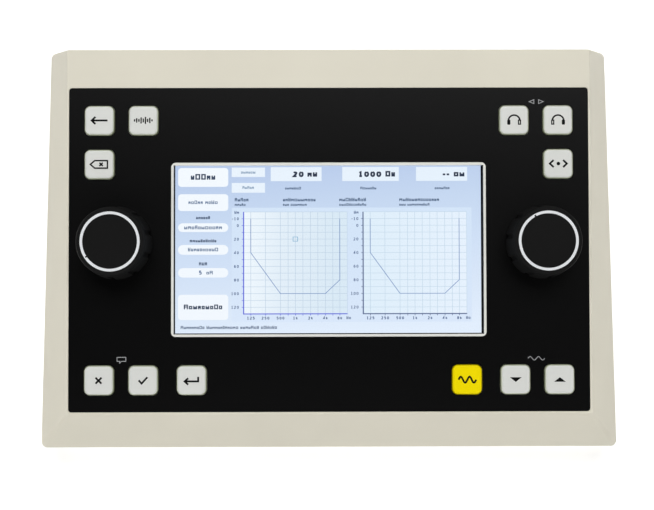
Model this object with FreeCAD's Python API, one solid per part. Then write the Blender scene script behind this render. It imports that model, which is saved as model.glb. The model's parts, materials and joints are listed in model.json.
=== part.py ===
import FreeCAD, Part
import math
import os

# Desktop audiometer: a low wedge-shaped console with a colour display, twelve push keys and two knobs.
# Millimetres. +X right, +Y to the rear, +Z up. The origin is on the table under the middle of the case.
# The control panel is a plane that rises to the rear. What sits on it is drawn in the panel's own frame:
# u to the right, v up the slope, n out of the panel, with n = 0 on the rim round the front sheet.

V = FreeCAD.Vector

# ---- driving dimensions: case ----
CASE_WIDTH = 298.0
CASE_DEPTH = 210.0
SIDE_FLARE = 16.65
FRONT_FLARE = 16.65
REAR_FLARE = 10.35
PANEL_TILT = 6.0
PANEL_MIDDLE_Z = 50.5
FOOT_GAP = 3.0
PARTING_Z = 17.0
SKIRT_HEIGHT = 3.0
SKIRT_ROUND = 2.6
WALL = 2.6
FRONT_CORNER_R = 3.0
REAR_CORNER_R = 3.0
FACE_CORNER_R = 0.8
FACE_EDGE_ROUND = 0.5
REAR_STRIP = 19.4
FRONT_RIM = 1.1

# ---- driving dimensions: front sheet and window ----
SHEET_CORNER_R = 1.6
SHEET_THICK = 0.6
SHEET_SINK = 0.15
SHEET_FIT = 0.1
WINDOW_U = -0.2
WINDOW_V = -0.1
SIDE_BAND = 53.15
END_BAND = 39.15
WINDOW_CORNER_R = 1.0
LIP_WIDTH = 1.3
LIP_RISE = 0.3
LIP_FIT = 0.15

# ---- driving dimensions: display stack ----
MODULE_SIDE_BORDER = 4.7
MODULE_END_BORDER = 7.4
GASKET_THICK = 0.5
GASKET_MARGIN = 1.0
TOUCH_THICK = 1.1
LCD_SIDE_BORDER = 2.2
LCD_END_BORDER = 3.7
LCD_THICK = 2.2
LCD_SINK = 0.3
LCD_FRAME_THICK = 5.8
LCD_FIT = 0.1
LOCATING_RIB_THICK = 1.5
LOCATING_RIB_HEIGHT = 5.4
LOCATING_GAP = 0.3
BRACKET_THICK = 1.2
BRACKET_EDGE = 1.0
BRACKET_BORDER = 22.0
BRACKET_CORNER_R = 4.0
TAB_WIDTH = 11.0
TAB_INSET = 37.5
DISPLAY_BOSS_OFFSET = 7.0
DISPLAY_BOARD_WIDTH = 92.0
DISPLAY_BOARD_LIFT = 3.0
DRIVER_CHIP_SIZE = 14.0
DRIVER_CHIP_U = -18.0
DRIVER_CHIP_V = 8.0
MEMORY_WIDTH = 10.0
MEMORY_DEPTH = 8.0
MEMORY_U = 16.0
MEMORY_V = -6.0
CHIP_HEIGHT = 1.4

# ---- driving dimensions: keys ----
KEY_SIZE = 14.9
KEY_CORNER_R = 3.0
KEY_RISE = 1.5
KEY_EDGE_ROUND = 1.3
KEY_WALL = 1.4
KEY_TOP_THICK = 1.5
KEY_GAP = 0.35
KEY_FLANGE_OVERLAP = 0.75
KEY_FLANGE_THICK = 1.0
KEY_REST_GAP = 0.15
KEY_STEM_R = 2.6
KEY_TRAVEL = 1.0
KEY_OVERTRAVEL = 0.4
PLUNGER_R = 1.9
PLUNGER_DEPTH = 2.0
SWITCH_SIZE = 12.0
SWITCH_TRAVEL_ROOM = 0.4
BOARD_DROP = 9.2
BOARD_THICK = 1.6
KEY_SIDE_MARGIN = 15.45
KEY_REAR_MARGIN = 16.6
KEY_FRONT_MARGIN = 16.0
KEY_PITCH = 22.2
KEY_INNER_PITCH = 24.35

# ---- driving dimensions: knobs and encoders ----
KNOB_SIDE_MARGIN = 23.75
KNOB_V = 3.4
KNOB_BASE_R = 18.5
KNOB_SHOULDER_R = 17.2
KNOB_RIM_R = 16.45
KNOB_TOP = 19.5
KNOB_RIM_HEIGHT = 3.0
KNOB_RIM_ROUND = 0.7
KNOB_LIFT = 0.6
KNOB_WALL = 2.2
KNOB_WEB = 2.4
KNOB_HUB_R = 5.4
KNOB_LOBES = 10
GROOVE_R = 1.5
GROOVE_DEPTH = 0.9
RING_OUTER_R = 14.7
RING_INNER_R = 13.4
RING_DEPTH = 1.2
RING_PROUD = 0.1
RING_NOTCH = 0.8
CAP_SINK = 0.1
SEAT_FIT = 0.02
LEFT_KNOB_TURN = 213.0
RIGHT_KNOB_TURN = 118.0
ENCODER_WIDTH = 12.5
ENCODER_DEPTH = 13.2
BUSH_R = 3.5
BUSH_TOP = 3.6
SHAFT_R = 3.0
SHAFT_TOP = 15.0
SHAFT_FLAT = 1.4
SHAFT_FOOT = 3.6
RUNNING_FIT = 0.05
WASHER_R = 6.0
WASHER_THICK = 0.5
NUT_FLATS = 10.0
NUT_THICK = 2.0
THREAD_FIT = 0.05

# ---- driving dimensions: key boards ----
KEY_BOARD_SIDE_INSET = 4.25
KEY_BOARD_END_INSET = 6.25
KEY_BOARD_MODULE_GAP = 0.8
KEY_BOARD_FOOT_MARGIN = 5.2
KEY_BOARD_ROW_MARGIN = 4.7
BOSS_OUTSET = 5.5
BOSS_OVER_KNOB = 20.0
BOSS_OVER_ROW = 21.7
BOARD_BOSS_R = 3.0
BOARD_SCREW_R = 1.1
BOARD_SCREW_HEAD_R = 2.4
BOARD_SCREW_HEAD = 1.6
BOARD_SCREW_REACH = 4.4
SCREW_FIT = 0.05
HOLE_CLEARANCE = 0.3

# ---- driving dimensions: lower shell, feet and case screws ----
FLOOR_THICK = 2.5
LOWER_DRAFT = 2.2
LOWER_EDGE_ROUND = 2.0
SHADOW_STEP = 0.3
TONGUE_THICK = 1.2
TONGUE_HEIGHT = 2.0
TONGUE_FIT = 0.1
FLOOR_RIB_THICK = 1.5
FLOOR_RIB_HEIGHT = 4.0
FOOT_R = 8.0
FOOT_SOCKET = 0.8
FOOT_ROUND = 0.8
FOOT_SIDE_INSET = 31.0
FOOT_END_INSET = 25.0
SCREW_SIDE_INSET = 13.0
SCREW_FRONT_INSET = 15.0
SCREW_REAR_INSET = 18.0
FRONT_SCREW_X = 46.0
POST_R = 4.0
POST_DROP = 1.0
WELL_WALL = 1.6
WELL_HEAD_Z = 10.0
CASE_SCREW_R = 1.45
CASE_SCREW_HEAD_R = 2.8
CASE_SCREW_HEAD = 2.2
CASE_SCREW_REACH = 9.0

# ---- driving dimensions: connector bay, rear panel and what it carries ----
BAY_HALF_WIDTH = 94.0
BAY_TOP_Z = 44.0
REAR_PANEL_INSET = 11.6
REAR_PANEL_THICK = 2.0
PANEL_SLOT_DEPTH = 1.2
PANEL_SLOT_FIT = 0.1
BAY_WALL = 2.0
MAIN_BOARD_MARGIN = 6.5
MAIN_BOARD_DEPTH = 101.0
MAIN_BOARD_PANEL_GAP = 2.4
MAIN_BOARD_TOP_Z = 20.0
STANDOFF_R = 3.2
STANDOFF_SIDE_INSET = 14.0
STANDOFF_FRONT_INSET = 8.0
STANDOFF_REAR_INSET = 29.0
JACK_BORE_R = 3.25
JACK_BUSH_R = 4.75
JACK_BUSH_REACH = 2.6
JACK_WIDTH = 16.0
JACK_HEIGHT = 16.0
JACK_LENGTH = 24.0
JACK_BORE_END = 2.0
JACK_NUT_FLATS = 14.0
JACK_NUT_THICK = 2.0
JACK_PITCH = 24.0
JACK_SIDE_INSET = 18.0
USB_X = -26.0
USB_WIDTH = 12.0
USB_HEIGHT = 11.0
USB_LENGTH = 16.0
USB_MOUTH_WIDTH = 8.6
USB_MOUTH_HEIGHT = 7.8
USB_TONGUE_WIDTH = 5.6
USB_TONGUE_HEIGHT = 3.0
USB_TONGUE_SINK = 4.6
CUTOUT_GAP = 0.2
DC_X = -48.0
DC_WIDTH = 9.0
DC_HEIGHT = 11.0
DC_LENGTH = 13.0
DC_BARREL_R = 4.0
DC_BORE_R = 2.8
DC_BORE_DEPTH = 9.5
DC_PIN_R = 1.0
DC_PIN_SINK = 0.8
POWER_SIDE_INSET = 20.0
POWER_Z = 30.0
BEZEL_WIDTH = 21.0
BEZEL_HEIGHT = 15.0
BEZEL_THICK = 1.8
SWITCH_BODY_WIDTH = 18.8
SWITCH_BODY_HEIGHT = 12.6
SWITCH_BODY_LENGTH = 13.0
ROCKER_WIDTH = 15.2
ROCKER_HEIGHT = 10.4
ROCKER_TILT = 7.0
ROCKER_GAP = 0.25
ROCKER_PIVOT_SINK = 1.2
ROCKER_PIN_R = 1.2
ROCKER_DIP = 1.2
ROCKER_STAND = 0.9
ROCKER_HEEL = 3.0

# ---- driving dimensions: what the main board carries, placed from its middle and its front edge ----
SHIELD_WIDTH = 38.0
SHIELD_DEPTH = 28.0
SHIELD_HEIGHT = 4.2
SHIELD_X = -32.0
SHIELD_Y = 34.0
PROCESSOR_SIZE = 20.0
PROCESSOR_X = 24.0
PROCESSOR_Y = 40.0
AMPLIFIER_WIDTH = 14.0
AMPLIFIER_DEPTH = 11.0
AMPLIFIER_X = 58.0
AMPLIFIER_Y = 32.0
AMPLIFIER_PITCH = 22.0
RELAY_SIZE = 12.0
RELAY_HEIGHT = 7.0
RELAY_INSET = 34.0
RELAY_Y = 56.0
CAN_R = 4.0
CAN_HEIGHT = 9.0
CAN_INSET = 24.0
CAN_Y = 68.0
CAN_PITCH = 12.0
CAN_COUNT = 3

# ---- driving dimensions: flat cables and the headers that they plug into ----
CABLE_THICK = 0.3
CABLE_BEND_R = 5.0
CABLE_STRAIGHT = 3.0
DISPLAY_CABLE_WIDTH = 18.0
KEY_CABLE_WIDTH = 8.0
HEADER_MARGIN = 1.5
HEADER_DEPTH = 5.0
HEADER_HEIGHT = 3.0
HEADER_Y = 16.0
DISPLAY_HEADER_INSET = 6.0
KEY_HEADER_DROP = 10.0
KEY_HEADER_INSET = 6.5

# ---- places that follow from the driving dimensions ----
SLOPE = math.cos(math.radians(PANEL_TILT))
SHEET_WIDTH = CASE_WIDTH - 2 * (SIDE_FLARE + FRONT_RIM)
SHEET_DEPTH = (CASE_DEPTH - FRONT_FLARE - REAR_FLARE) / SLOPE - FRONT_RIM - REAR_STRIP
PANEL_MIDDLE_Y = -CASE_DEPTH / 2 + FRONT_FLARE + (FRONT_RIM + SHEET_DEPTH / 2) * SLOPE
PANEL = FreeCAD.Placement(V(0, PANEL_MIDDLE_Y, PANEL_MIDDLE_Z), FreeCAD.Rotation(V(1, 0, 0), PANEL_TILT))
SKIRT_TOP = PARTING_Z + SKIRT_HEIGHT
FACE_HALF_WIDTH = SHEET_WIDTH / 2 + FRONT_RIM
FACE_FRONT = -SHEET_DEPTH / 2 - FRONT_RIM
FACE_REAR = SHEET_DEPTH / 2 + REAR_STRIP
WINDOW_WIDTH = SHEET_WIDTH - 2 * SIDE_BAND
WINDOW_DEPTH = SHEET_DEPTH - 2 * END_BAND
MODULE_WIDTH = WINDOW_WIDTH + 2 * MODULE_SIDE_BORDER
MODULE_DEPTH = WINDOW_DEPTH + 2 * MODULE_END_BORDER
LCD_WIDTH = WINDOW_WIDTH + 2 * LCD_SIDE_BORDER
LCD_DEPTH = WINDOW_DEPTH + 2 * LCD_END_BORDER
TAB_U = MODULE_WIDTH / 2 - TAB_INSET
KEY_COLUMN_OUTER = SHEET_WIDTH / 2 - KEY_SIDE_MARGIN
KEY_COLUMN_MIDDLE = KEY_COLUMN_OUTER - KEY_PITCH
KEY_COLUMN_INNER = KEY_COLUMN_MIDDLE - KEY_INNER_PITCH
KEY_ROW_TOP = SHEET_DEPTH / 2 - KEY_REAR_MARGIN
KEY_ROW_SECOND = KEY_ROW_TOP - KEY_PITCH
KEY_ROW_BOTTOM = -SHEET_DEPTH / 2 + KEY_FRONT_MARGIN
KNOB_U = SHEET_WIDTH / 2 - KNOB_SIDE_MARGIN
SHEET_TOP = -SHEET_SINK
SHEET_BOTTOM = SHEET_TOP - SHEET_THICK
PANEL_UNDER = -WALL
TOUCH_TOP = PANEL_UNDER - GASKET_THICK
TOUCH_BOTTOM = TOUCH_TOP - TOUCH_THICK
LCD_FACE = TOUCH_BOTTOM - LCD_SINK
LCD_BOTTOM = LCD_FACE - LCD_THICK
FRAME_BOTTOM = TOUCH_BOTTOM - LCD_FRAME_THICK
BRACKET_BOTTOM = FRAME_BOTTOM - BRACKET_THICK
BOARD_TOP = -BOARD_DROP
BOARD_BOTTOM = BOARD_TOP - BOARD_THICK
KEY_HOLE = KEY_SIZE + 2 * KEY_GAP
KEY_FLANGE = KEY_HOLE + 2 * KEY_FLANGE_OVERLAP
FLANGE_TOP = PANEL_UNDER - KEY_REST_GAP
FLANGE_BOTTOM = FLANGE_TOP - KEY_FLANGE_THICK
STEM_BOTTOM = FLANGE_BOTTOM - KEY_TRAVEL - KEY_OVERTRAVEL / 2
SWITCH_TOP = STEM_BOTTOM - KEY_TRAVEL - KEY_OVERTRAVEL
PLUNGER_BOTTOM = SWITCH_TOP - (PLUNGER_DEPTH - KEY_TRAVEL)
KEY_BOARD_EDGE = SHEET_WIDTH / 2 - KEY_BOARD_SIDE_INSET
KEY_BOARD_INNER = WINDOW_U + MODULE_WIDTH / 2 + LOCATING_GAP + LOCATING_RIB_THICK + KEY_BOARD_MODULE_GAP
KEY_BOARD_FOOT = KEY_COLUMN_INNER - SWITCH_SIZE / 2 - KEY_BOARD_FOOT_MARGIN
KEY_BOARD_HALF_DEPTH = SHEET_DEPTH / 2 - KEY_BOARD_END_INSET
KEY_BOARD_FOOT_TOP = KEY_ROW_BOTTOM + SWITCH_SIZE / 2 + KEY_BOARD_ROW_MARGIN
SHELL_FLOOR_Z = FOOT_GAP + FLOOR_THICK
FOOT_X = CASE_WIDTH / 2 - FOOT_SIDE_INSET
FOOT_Y = CASE_DEPTH / 2 - FOOT_END_INSET
CORNER_SCREW_X = CASE_WIDTH / 2 - SCREW_SIDE_INSET
FRONT_SCREW_Y = -CASE_DEPTH / 2 + SCREW_FRONT_INSET
REAR_SCREW_Y = CASE_DEPTH / 2 - SCREW_REAR_INSET
REAR_PANEL_Y = CASE_DEPTH / 2 - REAR_PANEL_INSET
REAR_PANEL_OUT = REAR_PANEL_Y + REAR_PANEL_THICK
MAIN_BOARD_BOTTOM_Z = MAIN_BOARD_TOP_Z - BOARD_THICK
MAIN_BOARD_REAR_Y = REAR_PANEL_Y - MAIN_BOARD_PANEL_GAP
MAIN_BOARD_FRONT_Y = MAIN_BOARD_REAR_Y - MAIN_BOARD_DEPTH
STANDOFF_FRONT_Y = MAIN_BOARD_FRONT_Y + STANDOFF_FRONT_INSET
STANDOFF_REAR_Y = MAIN_BOARD_REAR_Y - STANDOFF_REAR_INSET
KEY_HEADER_V = KEY_ROW_SECOND - KEY_HEADER_DROP
KEY_CABLE_U = KEY_BOARD_INNER + KEY_HEADER_INSET
MAIN_BOARD_HALF_WIDTH = KEY_CABLE_U + KEY_CABLE_WIDTH / 2 + HEADER_MARGIN + MAIN_BOARD_MARGIN
STANDOFF_X = MAIN_BOARD_HALF_WIDTH - STANDOFF_SIDE_INSET
POWER_X = -BAY_HALF_WIDTH + POWER_SIDE_INSET
JACK_Z = MAIN_BOARD_TOP_Z + JACK_HEIGHT / 2
LAST_JACK_X = BAY_HALF_WIDTH - JACK_SIDE_INSET
JACKS = {
    "jack_response": LAST_JACK_X - 3 * JACK_PITCH,
    "jack_bone": LAST_JACK_X - 2 * JACK_PITCH,
    "jack_phone_left": LAST_JACK_X - JACK_PITCH,
    "jack_phone_right": LAST_JACK_X,
}
KEYS = {
    "key_back": (-KEY_COLUMN_OUTER, KEY_ROW_TOP),
    "key_mask": (-KEY_COLUMN_MIDDLE, KEY_ROW_TOP),
    "key_delete": (-KEY_COLUMN_OUTER, KEY_ROW_SECOND),
    "key_left_ear": (KEY_COLUMN_MIDDLE, KEY_ROW_TOP),
    "key_right_ear": (KEY_COLUMN_OUTER, KEY_ROW_TOP),
    "key_bone": (KEY_COLUMN_OUTER, KEY_ROW_SECOND),
    "key_no": (-KEY_COLUMN_OUTER, KEY_ROW_BOTTOM),
    "key_yes": (-KEY_COLUMN_MIDDLE, KEY_ROW_BOTTOM),
    "key_enter": (-KEY_COLUMN_INNER, KEY_ROW_BOTTOM),
    "key_signal": (KEY_COLUMN_INNER, KEY_ROW_BOTTOM),
    "key_down": (KEY_COLUMN_MIDDLE, KEY_ROW_BOTTOM),
    "key_up": (KEY_COLUMN_OUTER, KEY_ROW_BOTTOM),
}
KNOBS = {"left": (-KNOB_U, LEFT_KNOB_TURN), "right": (KNOB_U, RIGHT_KNOB_TURN)}
CASE_SCREWS = [(side * x, y) for side in (-1, 1) for x, y in (
    (CORNER_SCREW_X, FRONT_SCREW_Y), (FRONT_SCREW_X, FRONT_SCREW_Y), (CORNER_SCREW_X, REAR_SCREW_Y))]
BOARD_BOSSES = [
    (KEY_COLUMN_MIDDLE, KEY_ROW_SECOND),
    (KEY_COLUMN_OUTER + BOSS_OUTSET, KNOB_V + BOSS_OVER_KNOB),
    (KEY_COLUMN_OUTER + BOSS_OUTSET, KEY_ROW_BOTTOM + BOSS_OVER_ROW),
    ((KEY_COLUMN_MIDDLE + KEY_COLUMN_INNER) / 2, KEY_ROW_BOTTOM),
]
DISPLAY_BOSSES = [(WINDOW_U + a * TAB_U, WINDOW_V + b * (MODULE_DEPTH / 2 + DISPLAY_BOSS_OFFSET))
                  for a in (-1, 1) for b in (-1, 1)]
STANDOFFS = [(a * STANDOFF_X, y) for a in (-1, 1) for y in (STANDOFF_FRONT_Y, STANDOFF_REAR_Y)]
SHEET_CORNERS = (SHEET_CORNER_R,) * 4


def box(x0, x1, y0, y1, z0, z1):
    return Part.makeBox(x1 - x0, y1 - y0, z1 - z0, V(x0, y0, z0))


def block(x, y, width, depth, z0, z1):
    return box(x - width / 2, x + width / 2, y - depth / 2, y + depth / 2, z0, z1)


def rod(r, z0, z1, x=0.0, y=0.0):
    return Part.makeCylinder(r, z1 - z0, V(x, y, z0))


def rod_y(r, y0, y1, x, z):
    return Part.makeCylinder(r, y1 - y0, V(x, y0, z), V(0, 1, 0))


def fused(shapes):
    whole = shapes[0].fuse(shapes[1:]) if len(shapes) > 1 else shapes[0]
    return whole.removeSplitter()


def on_panel(shape):
    placed = shape.copy()
    placed.Placement = PANEL.multiply(placed.Placement)
    return placed


def rounded_wire(x0, x1, y0, y1, radii, z=0.0):
    # a rectangle whose corners are arcs; radii go front left, front right, rear right, rear left
    corners = ((x0, y0, 1, 1, 180), (x1, y0, -1, 1, 270), (x1, y1, -1, -1, 0), (x0, y1, 1, -1, 90))
    ends = []
    arcs = []
    for (x, y, sx, sy, start), r in zip(corners, radii):
        centre = V(x + sx * r, y + sy * r, z)
        points = []
        for turn in (0, 45, 90):
            angle = math.radians(start + turn)
            points.append(centre + V(r * math.cos(angle), r * math.sin(angle), 0))
        arcs.append(Part.Arc(*points).toShape())
        ends.append((points[0], points[2]))
    edges = []
    for k in range(4):
        edges.append(arcs[k])
        edges.append(Part.LineSegment(ends[k][1], ends[(k + 1) % 4][0]).toShape())
    return Part.Wire(edges)


def rounded_slab(x0, x1, y0, y1, radii, z0, z1):
    face = Part.Face(rounded_wire(x0, x1, y0, y1, radii, z0))
    return face.extrude(V(0, 0, z1 - z0))


def rounded_block(x, y, width, depth, r, z0, z1):
    return rounded_slab(x - width / 2, x + width / 2, y - depth / 2, y + depth / 2, (r,) * 4, z0, z1)


def hexagon(flats, r_hole, z0, z1):
    points = []
    for k in range(7):
        angle = math.radians(60 * k)
        points.append(V(math.cos(angle), math.sin(angle), 0) * (flats / math.sqrt(3)) + V(0, 0, z0))
    nut = Part.Face(Part.makePolygon(points)).extrude(V(0, 0, z1 - z0))
    return nut.cut(rod(r_hole, z0, z1))


def along_y(shape, x, y, z):
    # turns a piece drawn along +Z so that it points to the rear, and puts its origin at x, y, z
    placed = shape.copy()
    placed.Placement = FreeCAD.Placement(V(x, y, z), FreeCAD.Rotation(V(1, 0, 0), -90))
    return placed


# ---- case outlines ----
def case_outline(inset, z):
    half = CASE_WIDTH / 2 - inset
    depth = CASE_DEPTH / 2 - inset
    front = max(FRONT_CORNER_R - inset, 0.4)
    rear = max(REAR_CORNER_R - inset, 0.4)
    return rounded_wire(-half, half, -depth, depth, (front, front, rear, rear), z)


def case_prism(inset, z0, z1):
    return Part.Face(case_outline(inset, z0)).extrude(V(0, 0, z1 - z0))


def face_outline(side_inset, front_inset, rear_inset, n):
    radii = (FACE_CORNER_R,) * 4
    half = FACE_HALF_WIDTH - side_inset
    wire = rounded_wire(-half, half, FACE_FRONT + front_inset, FACE_REAR - rear_inset, radii, n)
    return on_panel(wire)


def upper_outside():
    # four flared sides join the tilted face to the level skirt, so they are ruled and twist a little
    flare = Part.makeLoft([case_outline(0, SKIRT_TOP), face_outline(0, 0, 0, 0)], True, True)
    body = fused([case_prism(0, PARTING_Z, SKIRT_TOP), flare])
    knee = [e for e in body.Edges if all(abs(p.Point.z - SKIRT_TOP) < 0.01 for p in e.Vertexes)]
    body = body.makeFillet(SKIRT_ROUND, knee)
    level = PANEL.inverse()
    rim = [e for e in body.Edges if all(abs(level.multVec(p.Point).z) < 0.01 for p in e.Vertexes)]
    return body.makeFillet(FACE_EDGE_ROUND, rim)


def upper_inside():
    side = FRONT_RIM + 0.4
    ceiling = face_outline(side, side, WALL - 0.2, PANEL_UNDER)
    hollow = Part.makeLoft([case_outline(WALL, SKIRT_TOP), ceiling], True, True)
    return fused([case_prism(WALL, PARTING_Z - 1, SKIRT_TOP), hollow])


def bay_surround(outside):
    # the tube that links the rear wall's opening to the connector panel, slotted to hold the panel's edges
    outer_half = BAY_HALF_WIDTH + BAY_WALL
    front_y = REAR_PANEL_Y - BAY_WALL
    tube = box(-outer_half, outer_half, front_y, CASE_DEPTH / 2 + 1, PARTING_Z, BAY_TOP_Z + BAY_WALL)
    return tube.common(outside)


def bay_cuts():
    reach = PANEL_SLOT_DEPTH + PANEL_SLOT_FIT
    mouth = box(-BAY_HALF_WIDTH, BAY_HALF_WIDTH, REAR_PANEL_Y - 2 * BAY_WALL, CASE_DEPTH / 2 + 2,
                PARTING_Z - 1, BAY_TOP_Z)
    slot = box(-BAY_HALF_WIDTH - reach, BAY_HALF_WIDTH + reach, REAR_PANEL_Y - PANEL_SLOT_FIT,
               REAR_PANEL_OUT + PANEL_SLOT_FIT, PARTING_Z - 1, BAY_TOP_Z + reach)
    return [mouth, slot]


def upper_shell():
    outside = upper_outside()
    added = [outside.cut(upper_inside()), bay_surround(outside)]
    room = outside_above(outside)
    for x, y in CASE_SCREWS:
        post = rod(POST_R, PARTING_Z - POST_DROP, PANEL_MIDDLE_Z + KNOB_TOP, x, y)
        added.append(post.common(room))
    top = PANEL_UNDER + 0.6
    for side in (-1, 1):
        for u, v in BOARD_BOSSES:
            added.append(on_panel(rod(BOARD_BOSS_R, BOARD_TOP, top, side * u, v)))
    for u, v in DISPLAY_BOSSES:
        added.append(on_panel(rod(BOARD_BOSS_R, FRAME_BOTTOM, top, u, v)))
    added.append(on_panel(locating_frame(top)))
    added.append(on_panel(window_block(LIP_WIDTH, SHEET_BOTTOM - 0.5, LIP_RISE)))
    shell = added[0]
    for piece in added[1:]:
        shell = shell.fuse(piece)
    return shell.cut(upper_cuts())


def outside_above(outside):
    # the posts reach a little below the parting line, so the space they may fill does too
    return outside.fuse(case_prism(WALL, PARTING_Z - POST_DROP - 1, PARTING_Z))


def locating_frame(top):
    inner_w = MODULE_WIDTH + 2 * LOCATING_GAP
    inner_d = MODULE_DEPTH + 2 * LOCATING_GAP
    rib = 2 * LOCATING_RIB_THICK
    bottom = PANEL_UNDER - LOCATING_RIB_HEIGHT
    frame = block(WINDOW_U, WINDOW_V, inner_w + rib, inner_d + rib, bottom, top)
    return frame.cut(block(WINDOW_U, WINDOW_V, inner_w, inner_d, bottom, top))


def window_block(margin, z0, z1):
    r = WINDOW_CORNER_R + margin
    return rounded_block(WINDOW_U, WINDOW_V, WINDOW_WIDTH + 2 * margin, WINDOW_DEPTH + 2 * margin, r, z0, z1)


def key_hole(u, v, z0, z1):
    return rounded_block(u, v, KEY_HOLE, KEY_HOLE, KEY_CORNER_R + KEY_GAP, z0, z1)


def upper_cuts():
    cuts = []
    half_w = SHEET_WIDTH / 2 + SHEET_FIT
    half_d = SHEET_DEPTH / 2 + SHEET_FIT
    recess = rounded_slab(-half_w, half_w, -half_d, half_d, SHEET_CORNERS, SHEET_BOTTOM, KNOB_TOP)
    cuts.append(on_panel(recess.cut(window_block(LIP_WIDTH, SHEET_BOTTOM - 1, LIP_RISE))))
    cuts.append(on_panel(window_block(0, PANEL_UNDER - 1, KNOB_TOP)))
    for u, v in KEYS.values():
        cuts.append(on_panel(key_hole(u, v, PANEL_UNDER - 1, KNOB_TOP)))
    for u, turn in KNOBS.values():
        cuts.append(on_panel(rod(BUSH_R + THREAD_FIT, PANEL_UNDER - 1, KNOB_TOP, u, KNOB_V)))
    pilot = BOARD_SCREW_R + SCREW_FIT
    for side in (-1, 1):
        for u, v in BOARD_BOSSES:
            cuts.append(on_panel(rod(pilot, BOARD_TOP - 1, BOARD_TOP + BOARD_SCREW_REACH + 0.5, side * u, v)))
    for u, v in DISPLAY_BOSSES:
        cuts.append(on_panel(rod(pilot, FRAME_BOTTOM - 1, FRAME_BOTTOM + BOARD_SCREW_REACH + 0.5, u, v)))
    for x, y in CASE_SCREWS:
        foot = PARTING_Z - POST_DROP
        cuts.append(rod(CASE_SCREW_R + SCREW_FIT, foot - 1, foot + CASE_SCREW_REACH + 1, x, y))
    inner = WALL - TONGUE_THICK - TONGUE_FIT
    ring_top = PARTING_Z + TONGUE_HEIGHT + TONGUE_FIT
    rebate = case_prism(inner, PARTING_Z - 1, ring_top).cut(case_prism(WALL + 0.01, PARTING_Z - 1, ring_top))
    cuts.append(rebate)
    return cuts + bay_cuts()


# ---- lower shell ----
def lower_outside():
    top = case_outline(SHADOW_STEP, PARTING_Z)
    bottom = case_outline(LOWER_DRAFT, FOOT_GAP)
    body = Part.makeLoft([bottom, top], True, True)
    base = [e for e in body.Edges if all(abs(p.Point.z - FOOT_GAP) < 0.01 for p in e.Vertexes)]
    return body.makeFillet(LOWER_EDGE_ROUND, base)


def well(x, y):
    r = CASE_SCREW_HEAD_R + HOLE_CLEARANCE + WELL_WALL
    return rod(r, FOOT_GAP, PARTING_Z - POST_DROP, x, y)


def lower_shell():
    outside = lower_outside()
    hollow = Part.makeLoft([case_outline(WALL + LOWER_DRAFT - SHADOW_STEP, SHELL_FLOOR_Z),
                            case_outline(WALL, PARTING_Z + 1)], True, True)
    tongue = case_prism(WALL - TONGUE_THICK, PARTING_Z - 1, PARTING_Z + TONGUE_HEIGHT)
    tongue = tongue.cut(case_prism(WALL, PARTING_Z - 2, PARTING_Z + TONGUE_HEIGHT + 1))
    gate = box(-BAY_HALF_WIDTH - BAY_WALL - 1, BAY_HALF_WIDTH + BAY_WALL + 1, 0, CASE_DEPTH,
               PARTING_Z, PARTING_Z + TONGUE_HEIGHT + 1)
    added = [outside.cut(hollow), tongue.cut(gate)]
    for x, y in CASE_SCREWS:
        added.append(well(x, y).common(outside))
    for x, y in STANDOFFS:
        added.append(rod(STANDOFF_R, SHELL_FLOOR_Z - 1, MAIN_BOARD_BOTTOM_Z, x, y))
    added += floor_ribs()
    shelf = box(-BAY_HALF_WIDTH - BAY_WALL, BAY_HALF_WIDTH + BAY_WALL, REAR_PANEL_Y - BAY_WALL,
                CASE_DEPTH / 2 - WALL, PARTING_Z - WALL, PARTING_Z)
    added.append(shelf.common(outside))
    return fused(added).cut(lower_cuts())


def floor_ribs():
    ribs = []
    z0 = SHELL_FLOOR_Z - 1
    z1 = SHELL_FLOOR_Z + FLOOR_RIB_HEIGHT
    t = FLOOR_RIB_THICK / 2
    for x in (-STANDOFF_X, -FRONT_SCREW_X, FRONT_SCREW_X, STANDOFF_X):
        ribs.append(box(x - t, x + t, FRONT_SCREW_Y, REAR_PANEL_Y - BAY_WALL, z0, z1))
    for y in (STANDOFF_FRONT_Y, STANDOFF_REAR_Y):
        ribs.append(box(-CORNER_SCREW_X, CORNER_SCREW_X, y - t, y + t, z0, z1))
    return ribs


def lower_cuts():
    cuts = []
    for x, y in CASE_SCREWS:
        cuts.append(rod(CASE_SCREW_HEAD_R + HOLE_CLEARANCE, FOOT_GAP - 1, WELL_HEAD_Z, x, y))
        cuts.append(rod(CASE_SCREW_R + HOLE_CLEARANCE, FOOT_GAP, PARTING_Z, x, y))
    for x, y in STANDOFFS:
        reach = MAIN_BOARD_BOTTOM_Z - BOARD_SCREW_REACH - 0.5
        cuts.append(rod(BOARD_SCREW_R + SCREW_FIT, reach, MAIN_BOARD_BOTTOM_Z + 1, x, y))
    for a in (-1, 1):
        for b in (-1, 1):
            cuts.append(rod(FOOT_R + SEAT_FIT, 0, FOOT_GAP + FOOT_SOCKET, a * FOOT_X, b * FOOT_Y))
    reach = BAY_HALF_WIDTH + PANEL_SLOT_DEPTH + PANEL_SLOT_FIT
    cuts.append(box(-reach, reach, REAR_PANEL_Y - PANEL_SLOT_FIT, REAR_PANEL_OUT + PANEL_SLOT_FIT,
                    PARTING_Z - PANEL_SLOT_DEPTH - PANEL_SLOT_FIT, PARTING_Z + 1))
    return cuts


def feet():
    solids = []
    for a in (-1, 1):
        for b in (-1, 1):
            foot = rod(FOOT_R, 0, FOOT_GAP + FOOT_SOCKET)
            rim = [e for e in foot.Edges if e.CenterOfMass.z < 0.01 and len(e.Vertexes) == 1]
            foot = foot.makeFillet(FOOT_ROUND, rim)
            foot.translate(V(a * FOOT_X, b * FOOT_Y, 0))
            solids.append(foot)
    return Part.makeCompound(solids)


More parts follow.
